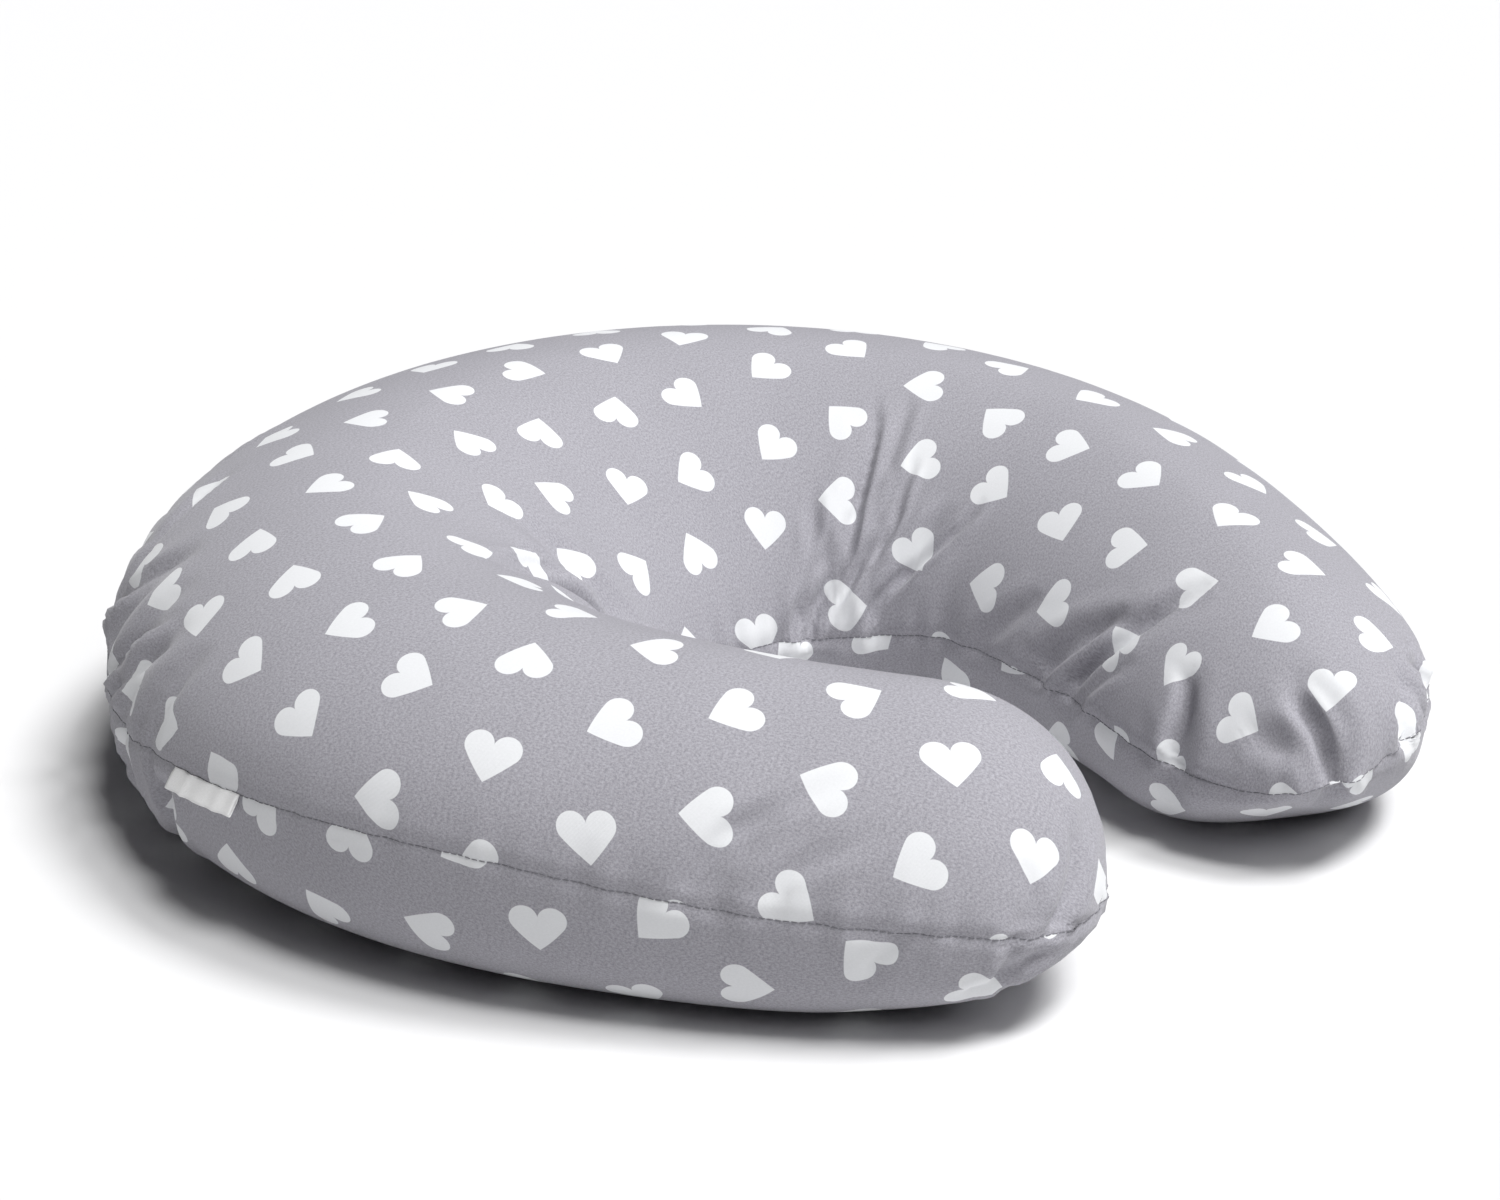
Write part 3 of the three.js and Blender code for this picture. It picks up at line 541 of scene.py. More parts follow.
def fold_heights(folds, points, normals):
    """How far each point moves along its normal for the folds: down in the valley, a little up beside it."""
    heights = np.zeros(len(points))
    for face, depth, width, lean, corners in folds:
        path = [on_panel(1 if s > 0 else -1, face, abs(s) * MM, share) for s, share in corners]
        line = curve_through(np.array(path))
        near = np.flatnonzero(np.all(np.abs(points - line.mean(0)) < FOLD_REACH, axis=1))
        away = np.linalg.norm(points[near, None] - line[None], axis=2)
        nearest = away.argmin(1)
        distance = away[np.arange(len(near)), nearest] / (width * MM)
        along = nearest / (len(line) - 1)
        ending = np.clip((1 - along) / FOLD_END + FOLD_END_DEPTH, 0, 1)
        taper = np.clip(along / FOLD_START, 0, 1) ** 0.8 * ending
        beside = np.cross(normals[near], np.gradient(line, axis=0)[nearest])
        side = np.tanh(LEAN_SHARPNESS * ((points[near] - line[nearest]) * unit(beside)).sum(1) / (width * MM))
        ridge = RIDGE_SHARE * (1 + lean * side)
        profile = ridge * np.exp(-((distance - RIDGE_PLACE) / RIDGE_WIDTH) ** 2) - np.exp(-distance ** 2)
        heights[near] += depth * MM * taper * profile
    return heights


def pull_heights(points):
    """How far each point is lifted by the pulls."""
    heights = np.zeros(len(points))
    for side, face, station, share, height, reach in PULLS:
        away = np.linalg.norm(points - on_panel(side, face, station * MM, share), axis=1) / (reach * MM)
        heights += height * MM * np.exp(-away ** 2)
    return heights


CHUNK = 4000  # points compared with the seam at one time


def seam_distance(points, seam):
    """Each point's distance from the seam, and how far along the seam the place nearest to it is."""
    distance, position = np.zeros(len(points)), np.zeros(len(points))
    travelled = lengths_along(seam)
    for start in range(0, len(points), CHUNK):
        part = slice(start, start + CHUNK)
        away = np.linalg.norm(points[part, None] - seam[None], axis=2)
        distance[part] = away.min(1)
        position[part] = travelled[away.argmin(1)]
    return distance, position


def pucker_heights(distance, position):
    """Small gathers at right angles to the seam, of uneven length and spacing."""
    rng = np.random.default_rng(11)
    heights = np.zeros(len(distance))
    for spacing in PUCKER_SPACINGS:
        phase = rng.uniform(0, 2 * math.pi)
        wander = 0.6 * np.sin(position / 0.083 + phase) + 0.5 * np.sin(position / 0.047)
        strength = 0.5 + 0.5 * np.sin(position / (5.3 * spacing) + 2 * phase)
        heights += strength * np.sin(2 * math.pi * position / spacing + 2.2 * wander)
    return PUCKER_HEIGHT * heights * np.exp(-(distance / PUCKER_REACH) ** 1.5)


# ---------------------------------------------------------------- cloth simulation

CLOTH_FRAMES = 20
PULL_FRAMES = 6
CLOTH_HOLD = 0.3  # how firmly the cloth is pulled to the filling's shape, from 0 to 1
CLOTH_SETTINGS = dict(
    quality=5, mass=0.1, air_damping=2, tension_stiffness=20, compression_stiffness=20, shear_stiffness=6,
    bending_stiffness=0.3, tension_damping=5, compression_damping=5, shear_damping=5,
    vertex_group_mass="hold", pin_stiffness=1, use_pressure=True, uniform_pressure_force=0.5)


def simulate(start, target, faces):
    """Cloth that starts with its folds drawn in, is pulled to the filling's shape and swells."""
    mesh = bpy.data.meshes.new("cloth")
    mesh.from_pydata(start.tolist(), [], faces.tolist())
    cloth = bpy.data.objects.new("cloth", mesh)
    bpy.context.scene.collection.objects.link(cloth)
    cloth.shape_key_add(name="Basis")
    key = cloth.shape_key_add(name="filled")
    key.data.foreach_set("co", target.ravel())
    key.value = 0
    key.keyframe_insert("value", frame=1)
    key.value = 1
    key.keyframe_insert("value", frame=PULL_FRAMES)
    group = cloth.vertex_groups.new(name="hold")
    group.add(list(range(len(start))), CLOTH_HOLD, "REPLACE")
    modifier = cloth.modifiers.new("Cloth", "CLOTH")
    for name, value in CLOTH_SETTINGS.items():
        setattr(modifier.settings, name, value)
    modifier.settings.effector_weights.gravity = 0
    modifier.collision_settings.use_collision = False
    for number in range(1, CLOTH_FRAMES + 1):
        bpy.context.scene.frame_set(number)
    evaluated = cloth.evaluated_get(bpy.context.evaluated_depsgraph_get())
    result = np.empty(len(start) * 3)
    evaluated.data.vertices.foreach_get("co", result)
    bpy.data.objects.remove(cloth)
    bpy.context.scene.frame_set(1)
    return result.reshape(-1, 3)


# ---------------------------------------------------------------- mesh helpers

def make_piece(name, points, faces, material, uv=None):
    mesh = bpy.data.meshes.new(name)
    mesh.from_pydata(np.asarray(points).tolist(), [], [[int(number) for number in face] for face in faces])
    mesh.polygons.foreach_set("use_smooth", [True] * len(mesh.polygons))
    if uv is not None:
        layer = mesh.uv_layers.new(name="cloth")
        corners = np.empty(len(mesh.loops), int)
        mesh.loops.foreach_get("vertex_index", corners)
        layer.data.foreach_set("uv", np.asarray(uv, np.float32)[corners].ravel())
    mesh.materials.append(material)
    piece = bpy.data.objects.new(name, mesh)
    bpy.context.scene.collection.objects.link(piece)
    return piece


def grid_piece(name, points, uv, material, flipped=False):
    """A piece from a grid of points with their places on the flat cloth. Flipped faces look the other way."""
    faces = quads(np.arange(points.shape[0] * points.shape[1]).reshape(points.shape[:2]))
    faces = faces[:, ::-1] if flipped else faces
    return make_piece(name, points.reshape(-1, 3), faces, material, uv.reshape(-1, 2))


def halves(name):
    return [f"{name}_left", f"{name}_right"]


def bend_at_back(piece):
    """Bakes the piece's placement into its points. It comes before the modifiers."""
    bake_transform(piece)


def declare(piece, replaced=(), body=None):
    """Says what a piece stands for, by hiding the imported parts it replaces, and what body it moves with."""
    if body:
        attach(piece, body)
    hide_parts(*replaced)


def smooth_over(piece):
    modifier = piece.modifiers.new("Smooth", "SUBSURF")
    modifier.levels = modifier.render_levels = 1


def thicken(piece, thickness, offset=-1.0):
    modifier = piece.modifiers.new("Thickness", "SOLIDIFY")
    modifier.thickness = thickness
    modifier.offset = offset


def tube_faces(rings, sides):
    """Faces of a tube whose points are rings of the same number of sides, with its two middles last."""
    numbers = np.arange(rings * sides).reshape(rings, sides)
    wrapped = np.concatenate([numbers, numbers[:, :1]], 1)
    faces = [list(face) for face in quads(wrapped)]
    first, last = rings * sides, rings * sides + 1
    for j in range(sides):
        k = (j + 1) % sides
        faces.append([first, numbers[0, j], numbers[0, k]])
        faces.append([last, numbers[-1, k], numbers[-1, j]])
    return faces


THREAD_SIDES = 6


def capsules(centres, directions, ups, length, radius):
    """Points and faces of many short rounded threads."""
    stations = np.array([-0.5, -0.42, -0.2, 0.2, 0.42, 0.5]) * length
    radii = np.array([0.3, 0.8, 1.0, 1.0, 0.8, 0.3]) * radius
    angles = np.linspace(0, 2 * math.pi, THREAD_SIDES, endpoint=False)
    others = np.cross(directions, ups)
    points, faces = [], []
    pattern = tube_faces(len(stations), THREAD_SIDES)
    for centre, direction, up, other in zip(centres, directions, ups, others):
        base = len(points)
        for station, size in zip(stations, radii):
            for angle in angles:
                round_part = size * (math.cos(angle) * up + math.sin(angle) * other)
                points.append(centre + direction * station + round_part)
        points.append(centre + direction * (stations[0] - 0.1 * radius))
        points.append(centre + direction * (stations[-1] + 0.1 * radius))
        faces.extend([[base + number for number in face] for face in pattern])
    return points, faces


def resample(line, spacing):
    """Points at even distances along a line, with their directions."""
    travelled = lengths_along(line)
    places = np.arange(spacing / 2, travelled[-1] - spacing / 2, spacing)
    even = np.stack([np.interp(places, travelled, line[:, axis]) for axis in range(3)], -1)
    return even, unit(np.gradient(even, axis=0))


# ---------------------------------------------------------------- materials

class Shader:
    """A material whose node tree is built from short expressions."""

    def __init__(self, name, roughness=0.8, sheen=0.0, metallic=0.0, specular=0.5):
        self.material = bpy.data.materials.new(name)
        self.material.use_nodes = True
        self.tree = self.material.node_tree
        self.surface = self.tree.nodes["Principled BSDF"]
        self.put(self.surface, "Roughness", roughness)
        self.put(self.surface, "Metallic", metallic)
        self.put(self.surface, "Specular IOR Level", specular)
        if sheen:
            self.put(self.surface, "Sheen Weight", sheen)
            self.put(self.surface, "Sheen Roughness", 0.5)

    def put(self, node, name, value):
        socket = node.inputs[name]
        if isinstance(value, bpy.types.NodeSocket):
            self.tree.links.new(value, socket)
        else:
            socket.default_value = value

    def node(self, kind, output=0, **inputs):
        settings = inputs.pop("settings", {})
        made = self.tree.nodes.new(kind)
        for name, value in settings.items():
            setattr(made, name, value)
        for name, value in inputs.items():
            self.put(made, int(name[1:]) if name[0] == "i" and name[1:].isdigit() else name, value)
        return made.outputs[output]

    def math(self, operation, *values):
        inputs = {f"i{k}": value for k, value in enumerate(values)}
        return self.node("ShaderNodeMath", settings=dict(operation=operation), **inputs)

    def plus(self, first, second):
        return self.math("ADD", first, second)

    def minus(self, first, second):
        return self.math("SUBTRACT", first, second)

    def times(self, first, second):
        return self.math("MULTIPLY", first, second)

    def vector(self, operation, *values):
        inputs = {f"i{k}": value for k, value in enumerate(values)}
        return self.node("ShaderNodeVectorMath", settings=dict(operation=operation), **inputs)

    def split(self, value):
        made = self.tree.nodes.new("ShaderNodeSeparateXYZ")
        self.put(made, "Vector", value)
        return made.outputs

    def join(self, x, y):
        return self.node("ShaderNodeCombineXYZ", X=x, Y=y)

    def noise(self, place, scale, detail=2.0, rough=0.5):
        return self.node("ShaderNodeTexNoise", Vector=place, Scale=scale, Detail=detail, Roughness=rough)

    def ramp(self, value, low, high, out_low=0.0, out_high=1.0, smooth=False):
        kind = "SMOOTHSTEP" if smooth else "LINEAR"
        return self.node("ShaderNodeMapRange", settings=dict(interpolation_type=kind),
                         i0=value, i1=low, i2=high, i3=out_low, i4=out_high)

    def mix(self, share, first, second):
        made = self.tree.nodes.new("ShaderNodeMix")
        made.data_type = "RGBA"
        self.put(made, 0, share)
        self.put(made, 6, first)
        self.put(made, 7, second)
        return made.outputs[2]

    def distance(self, x, y, from_x, from_y):
        away = self.join(self.minus(x, from_x), self.minus(y, from_y))
        made = self.tree.nodes.new("ShaderNodeVectorMath")
        made.operation = "LENGTH"
        self.put(made, 0, away)
        return made.outputs["Value"]

    def tint(self, color, factor):
        """The colour, lighter or darker by a factor that varies over the surface."""
        tinted = self.vector("SCALE", color)
        self.put(tinted.node, "Scale", factor)
        return tinted

    def bump(self, height, distance, strength):
        normal = self.node("ShaderNodeBump", Height=height, Distance=distance, Strength=strength)
        self.put(self.surface, "Normal", normal)

    def color(self, value):
        self.put(self.surface, "Base Color", value)


def cloth_place(shader):
    return shader.node("ShaderNodeUVMap", settings=dict(uv_map="cloth"))


def object_place(shader):
    return shader.node("ShaderNodeTexCoord", output=3)


SLUBS_PER_METRE = 420.0  # thicker and thinner places along a thread


def weave(shader, place, pitch):
    """Plain weave: signed height of the thread on top, and uneven threads both ways."""
    u, v, _ = shader.split(place)
    wave_u, wave_v = [shader.math("SINE", shader.times(value, math.pi / pitch)) for value in (u, v)]
    warp = shader.noise(shader.join(shader.times(u, 1 / pitch), shader.times(v, SLUBS_PER_METRE)), 1.0)
    weft = shader.noise(shader.join(shader.times(u, SLUBS_PER_METRE), shader.times(v, 1 / pitch)), 1.0)
    return shader.times(wave_u, wave_v), shader.plus(warp, weft)


HEART_COLUMN = 0.050
HEART_ROW = 0.0445
HEART_UNIT = 6.3 * MM
HEART_LOBE = (0.97, 2.45)  # middle of a lobe of radius 1, from the tip, in heart units
HEART_HALF_ANGLE = math.radians(49)  # between a side and the middle line, at the tip
HEART_MIDDLE = 1.7
HEART_JITTER = 0.006
HEART_EDGE = 0.025  # half the width of the print's soft edge, in heart units


def heart_print(shader, place):
    """1 inside the printed hearts: one in each staggered cell, each turned its own way."""
    u, v, _ = shader.split(place)
    row_place = shader.math("DIVIDE", v, HEART_ROW)
    row = shader.math("FLOOR", row_place)
    odd = shader.math("PINGPONG", row, 1.0)
    column_place = shader.plus(shader.math("DIVIDE", u, HEART_COLUMN), shader.times(odd, 0.5))
    column = shader.math("FLOOR", column_place)
    made = shader.tree.nodes.new("ShaderNodeTexWhiteNoise")
    made.noise_dimensions = "2D"
    shader.put(made, "Vector", shader.join(column, row))
    chance, colors = made.outputs["Value"], shader.split(made.outputs["Color"])
    offsets = []
    axes = ((column_place, HEART_COLUMN, colors[1]), (row_place, HEART_ROW, colors[2]))
    for cell_place, size, color in axes:
        in_cell = shader.minus(shader.math("FRACT", cell_place), 0.5)
        jitter = shader.times(shader.minus(color, 0.5), HEART_JITTER)
        offsets.append(shader.minus(shader.times(in_cell, size), jitter))
    turned = shader.node("ShaderNodeVectorRotate", settings=dict(rotation_type="Z_AXIS"),
                         Vector=shader.join(*offsets), Angle=shader.times(chance, 2 * math.pi))
    heart_x, heart_y, _ = shader.split(shader.tint(turned, 1 / HEART_UNIT))
    return heart_shape(shader, shader.math("ABSOLUTE", heart_x), shader.plus(heart_y, HEART_MIDDLE))


def heart_shape(shader, x, y):
    """1 inside a heart with its tip at the origin: two slightly round sides that run into two round lobes."""
    lobe_x, lobe_y = HEART_LOBE
    sine, cosine = math.sin(HEART_HALF_ANGLE), math.cos(HEART_HALF_ANGLE)
    side_radius = (lobe_x ** 2 + lobe_y ** 2 - 1) / (2 * (lobe_y * sine - lobe_x * cosine - 1))
    middle_x, middle_y = -side_radius * cosine, side_radius * sine
    side_end = middle_y + (lobe_y - middle_y) * side_radius / (side_radius - 1)
    lobe = shader.minus(shader.distance(x, y, lobe_x, lobe_y), 1.0)
    beside = shader.minus(shader.distance(x, y, middle_x, middle_y), side_radius)
    core = shader.math("MAXIMUM", shader.minus(x, lobe_x), shader.minus(y, lobe_y))
    body = shader.math("MAXIMUM", beside, shader.math("MINIMUM", shader.minus(y, side_end), core))
    return shader.ramp(shader.math("MINIMUM", lobe, body), HEART_EDGE, -HEART_EDGE, smooth=True)


COVER_PITCH = 0.5 * MM  # from thread to thread
CASING_PITCH = 0.4 * MM
RIBBON_PITCH = 0.3 * MM
RIBBON_RIB = 0.6 * MM
TAPE_RIB = 0.8 * MM
TAPE_STRIPE = 2.2 * MM


def cover_material(name, grey, white):
    """Melange cotton: light and dark yarns in a fine weave, with the hearts printed over them."""
    shader = Shader(name, roughness=0.88, sheen=0.2, specular=0.25)
    place = cloth_place(shader)
    crossing, threads = weave(shader, place, COVER_PITCH)
    flecks = shader.noise(shader.vector("MULTIPLY", place, (1100.0, 700.0, 1.0)), 1.0, 2.0, 0.8)
    speckle = shader.ramp(shader.plus(flecks, shader.times(threads, 0.2)), 0.52, 0.88, 0.77, 1.25)
    patches = shader.ramp(shader.noise(place, 22.0, 3.0), 0.3, 0.7, 0.98, 1.02)
    yarns = shader.tint(grey, shader.times(speckle, patches))
    ink = shader.tint(white, shader.ramp(flecks, 0.3, 0.7, 0.975, 1.025))
    shader.color(shader.mix(heart_print(shader, place), yarns, ink))
    shader.bump(shader.plus(shader.math("ABSOLUTE", crossing), shader.times(flecks, 0.6)), 0.10 * MM, 0.4)
    return shader.material


def thread_material(name, color):
    shader = Shader(name, roughness=0.6, sheen=0.2)
    twist = shader.noise(object_place(shader), 2600.0, 1.0)
    shader.color(shader.tint(color, shader.ramp(twist, 0.3, 0.7, 0.7, 1.3)))
    shader.bump(twist, 0.1 * MM, 0.7)
    return shader.material


def ribbon_material(name, color):
    shader = Shader(name, roughness=0.55, sheen=0.15)
    place = cloth_place(shader)
    crossing, threads = weave(shader, place, RIBBON_PITCH)
    ribs = shader.math("SINE", shader.times(shader.split(place)[1], 2 * math.pi / RIBBON_RIB))
    shader.color(shader.tint(color, shader.ramp(threads, 0.7, 1.3, 0.95, 1.05)))
    shader.bump(shader.plus(ribs, crossing), 0.05 * MM, 0.5)
    return shader.material


def tape_material(name, color):
    """Herringbone: slanted ribs that change direction every few millimetres across the tape."""
    shader = Shader(name, roughness=0.75, sheen=0.2)
    u, v, _ = shader.split(cloth_place(shader))
    zigzag = shader.math("PINGPONG", v, TAPE_STRIPE)
    ribs = shader.math("SINE", shader.times(shader.plus(u, zigzag), 2 * math.pi / TAPE_RIB))
    shader.color(shader.tint(color, shader.ramp(ribs, -1, 1, 0.82, 1.12)))
    shader.bump(ribs, 0.1 * MM, 0.8)
    return shader.material


def coil_material(name, color):
    shader = Shader(name, roughness=0.38)
    fine = shader.noise(object_place(shader), 900.0, 2.0)
    shader.color(shader.tint(color, shader.ramp(fine, 0.3, 0.7, 0.9, 1.1)))
    shader.put(shader.surface, "Roughness", shader.ramp(fine, 0.2, 0.8, 0.3, 0.48))
    return shader.material


def metal_material(name, color):
    """Satin nickel, brushed, with brighter worn patches."""
    shader = Shader(name, roughness=0.3, metallic=1.0)
    place = object_place(shader)
    brushed = shader.noise(shader.vector("MULTIPLY", place, (900.0, 900.0, 9000.0)), 1.0, 3.0)
    worn = shader.noise(place, 400.0, 2.0)
    shader.color(shader.tint(color, shader.ramp(worn, 0.35, 0.65, 0.88, 1.08)))
    shader.put(shader.surface, "Roughness", shader.ramp(brushed, 0.2, 0.8, 0.22, 0.42))
    shader.bump(brushed, 0.02 * MM, 0.4)
    return shader.material


def casing_material(name, color):
    shader = Shader(name, roughness=0.9, sheen=0.2, specular=0.25)
    crossing, threads = weave(shader, cloth_place(shader), CASING_PITCH)
    shader.color(shader.tint(color, shader.ramp(threads, 0.7, 1.3, 0.93, 1.05)))
    shader.bump(shader.plus(shader.math("ABSOLUTE", crossing), threads), 0.1 * MM, 0.5)
    return shader.material


def fibre_material(name, color):
    shader = Shader(name, roughness=0.95, sheen=0.6, specular=0.2)
    place = object_place(shader)
    curl = shader.vector("MULTIPLY", shader.noise(place, 60.0, 2.0), (0.02, 0.02, 0.02))
    stretched = shader.vector("MULTIPLY", shader.vector("ADD", place, curl), (900.0, 140.0, 300.0))
    strands = shader.noise(stretched, 1.0, 4.0)
    shader.color(shader.tint(color, shader.ramp(strands, 0.3, 0.7, 0.85, 1.04)))
    shader.bump(strands, 1.5 * MM, 0.8)
    return shader.material


GREY = (0.357, 0.350, 0.386)
WHITE = (0.79, 0.80, 0.82)
cover_fabric = cover_material("cover_fabric", GREY, WHITE)
cover_thread = thread_material("cover_thread", (0.17, 0.17, 0.19))
label_ribbon = ribbon_material("label_ribbon", (0.94, 0.94, 0.94))
zip_tape_fabric = tape_material("zip_tape", (0.27, 0.27, 0.29))
zip_nylon = coil_material("zip_coil", (0.25, 0.25, 0.27))
zip_nickel = metal_material("zip_metal", (0.62, 0.61, 0.59))
casing_fabric = casing_material("casing_fabric", (0.82, 0.80, 0.76))
casing_thread = thread_material("casing_thread", (0.75, 0.75, 0.73))
filling_fibre = fibre_material("filling_fibre", (0.88, 0.88, 0.87))


# ---------------------------------------------------------------- cover

# The right arm has closer rows where its sharp creases are
COVER_SPACING = {-1: ([], [3.2 * MM]), 1: ([140 * MM, 350 * MM], [3.2 * MM, 1.8 * MM, 3.2 * MM])}
COVER_COLUMNS = 112
SEAM_ALLOWANCE = 3.5 * MM
SLOT_LIP = 1.1 * MM
SLOT_REACH = 20 * MM
SLOT_TAPER = 0.03  # radians in which the slot opens at either end
SLOT_OPEN = 0.3  # the slot share from which the cloth has a lip in place of its seam allowance
LIP_RISE = 0.5 * MM
CALM_END = math.radians(85.5)
CALM_NEAR = 9 * MM
CALM_FAR = 34 * MM
FABRIC_THICKNESS = 0.7 * MM
FLOOR_GAP = 0.2 * MM
DRAWN_IN = 1.3  # the folds' depth at the start of the simulation
CLOTH_ROUGHNESS = 0.25 * MM
EVENING_ROUNDS = 2
# The print's turn and offset on the cloth of each panel
PRINT_TURN = {1: math.radians(8), -1: math.radians(-14)}
PRINT_OFFSET = {1: (0.013, 0.021), -1: (0.007, 0.033)}


def calm_near_zip(points):
    """0 next to the zip and the care label, where the cover lies as cut, and 1 away from them."""
    held = np.clip(rim_angle(points), ZIP_START, CALM_END)
    away = np.linalg.norm(points - rim_point(held), axis=1)
    return smoothstep(away, CALM_NEAR, CALM_FAR)


def slot_share(angle):
    """1 along the zip's slot, and down to 0 just past its ends."""
    opening = smoothstep(angle, ZIP_START, ZIP_START + SLOT_TAPER)
    return opening * smoothstep(-angle, -ZIP_END, SLOT_TAPER - ZIP_END)


cover = Cushion(COVER_SPACING, COVER_COLUMNS)
seam_numbers = cover.seam_loop()


def between(values, axis):
    """Values for every row, from those of every second row: each new one is on a smooth curve."""
    values = np.moveaxis(values, axis, 0)
    fine = np.zeros((2 * len(values) - 1,) + values.shape[1:])
    fine[::2] = values
    fine[1::2] = (values[:-1] + values[1:]) / 2
    fine[3:-3:2] = (9 * (values[1:-2] + values[2:-1]) - values[:-3] - values[3:]) / 16
    return np.moveaxis(fine, 0, axis)


def evened(values, axis):
    """Takes out what changes from one row to the next."""
    values = np.moveaxis(values, axis, 0).copy()
    values[1:-1] = (values[:-2] + 2 * values[1:-1] + values[2:]) / 4
    return np.moveaxis(values, 0, axis)


def settle(drawn, filled):
    """Simulates the cloth on every second row and column, and spreads its moves over the rest."""
    coarse = {face: cover.number[face][::2, ::2] for face in (1, -1)}
    used, numbered = np.unique(np.stack([coarse[1], coarse[-1]]), return_inverse=True)
    numbered = numbered.reshape(2, *coarse[1].shape)
    faces = np.concatenate([quads(numbered[0]), quads(numbered[1])[:, ::-1]])
    moved = simulate(drawn[used], filled[used], faces) - filled[used]
    settled = filled.copy()
    for index, face in enumerate((1, -1)):
        moves = moved[numbered[index]]
        for _ in range(EVENING_ROUNDS):
            moves = evened(evened(moves, 0), 1)
        settled[cover.number[face]] = filled[cover.number[face]] + between(between(moves, 0), 1)
    return settled


def shape_cover():
    """The cover's points with its folds, creases, gathers and seam, and their distances from the seam."""
    points = cover.points
    normals = normals_of(points, cover.faces)
    seam = np.concatenate([points[seam_numbers], points[seam_numbers[:1]]])
    distance, position = seam_distance(points, seam)
    calm = calm_near_zip(points)
    heights = (fold_heights(FOLDS, points, normals) + pucker_heights(distance, position)) * calm
    rough = np.random.default_rng(7).normal(0, CLOTH_ROUGHNESS, len(points)) * calm
    drawn = points + normals * (DRAWN_IN * heights + rough)[:, None]
    filled = points + normals * heights[:, None]
    shaped = settle(drawn, filled)
    shaped = points + (shaped - points) * calm[:, None]
    widths = distance / GROOVE_WIDTH
    groove = BULGE_HEIGHT * np.exp(-((widths - GROOVE_TO_BULGE) / (GROOVE_TO_BULGE / 2)) ** 2)
    groove -= GROOVE_DEPTH * np.exp(-widths ** 2)
    creases = fold_heights(CREASES, points, normals) + groove
    shaped = shaped + normals_of(shaped, cover.faces) * (creases * calm)[:, None]
    shaped[:, 2] += pull_heights(points) * calm
    shaped[:, 2] = np.maximum(shaped[:, 2], FLOOR_GAP)
    return shaped, distance


cover_points, from_seam = shape_cover()
cover_normals = normals_of(cover_points, cover.faces)


def one_row_more(values):
    return np.pad(values, ((1, 1), (1, 1), (0, 0)), mode="edge")


def with_allowance(face):
    """The panel's points with a row more all round, turned in at the seam, and open along the zip's slot."""
    numbers = cover.number[face]
    points = cover_points[numbers].copy()
    normals = cover_normals[numbers]
    outer = (cover.share > 0.5) & (cover.side[:, None] > 0)
    slot = np.where(outer, slot_share(rim_angle(points)), 0)
    lift = slot * SLOT_HALF * np.clip(1 - from_seam[numbers] / SLOT_REACH, 0, 1)
    points[..., 2] += face * lift
    inward = np.where(slot > SLOT_OPEN, SLOT_LIP, SEAM_ALLOWANCE)[..., None]
    lip = points - normals * inward
    lip[..., 2] += face * LIP_RISE
    bordered, lips = one_row_more(points), one_row_more(lip)
    outermost = border(bordered.shape[:2])
    bordered[outermost] = lips[outermost]
    return bordered


def sharpen(mesh, marked):
    """Keeps the shading of the faces on either side of the edges between marked points apart."""
    ends = np.empty(2 * len(mesh.edges), int)
    mesh.edges.foreach_get("vertices", ends)
    sharp = mesh.attributes.new("sharp_edge", "BOOLEAN", "EDGE")
    sharp.data.foreach_set("value", marked[ends].reshape(-1, 2).all(1))


def cover_panel(name, face):
    points = with_allowance(face)
    x, y = np.moveaxis(one_row_more(cover.flat[face]), -1, 0)
    cosine, sine = math.cos(PRINT_TURN[face]), math.sin(PRINT_TURN[face])
    uv = np.stack([x * cosine - y * sine, x * sine + y * cosine], -1) + PRINT_OFFSET[face]
    piece = grid_piece(name, points, uv, cover_fabric, flipped=face < 0)
    sharpen(piece.data, border(points.shape[:2], 2).ravel())
    bend_at_back(piece)
    thicken(piece, FABRIC_THICKNESS)
    declare(piece, halves(name))


cover_panel("cover_top_panel", 1)
cover_panel("cover_bottom_panel", -1)

STITCH_PITCH = 3.3 * MM
STITCH_LENGTH = 2.7 * MM
STITCH_RADIUS = 0.24 * MM
STITCH_LEANS = (-0.03, 0.05)
THREAD_RISE = 0.1 * MM
INSIDE_RIM = 0.9 * RIM_RADIUS  # stitches nearer the rim's centre than this are away from the slot
SLOT_SHUT = 0.02


def seam_stitches():
    name = "cover_seam_thread"
    loop = np.append(seam_numbers, seam_numbers[0])
    line = cover_points[loop] + cover_normals[loop] * THREAD_RISE
    even, directions = resample(line, STITCH_PITCH)
    radius = np.hypot(even[:, 0] - RIM_CENTRE[0], even[:, 1] - RIM_CENTRE[1])
    outside_slot = (slot_share(rim_angle(even)) < SLOT_SHUT) | (radius < INSIDE_RIM)
    even, directions = even[outside_slot], directions[outside_slot]
    ups = np.tile([0.0, 0.0, 1.0], (len(even), 1))
    lean = np.take(STITCH_LEANS, np.arange(len(even)) % 2)[:, None]
    stitches = capsules(even, unit(directions + ups * lean), ups, STITCH_LENGTH, STITCH_RADIUS)
    piece = make_piece(name, *stitches, cover_thread)
    declare(piece, [*halves(name), f"{name}_back"])
    bend_at_back(piece)


seam_stitches()


# ---------------------------------------------------------------- side label

LABEL_DROP = 10 * MM
LABEL_LEAN = 0.60
LABEL_ROWS = 26
RIBBON_THICKNESS = 0.35 * MM
RIBBON_GAP = 0.5 * MM


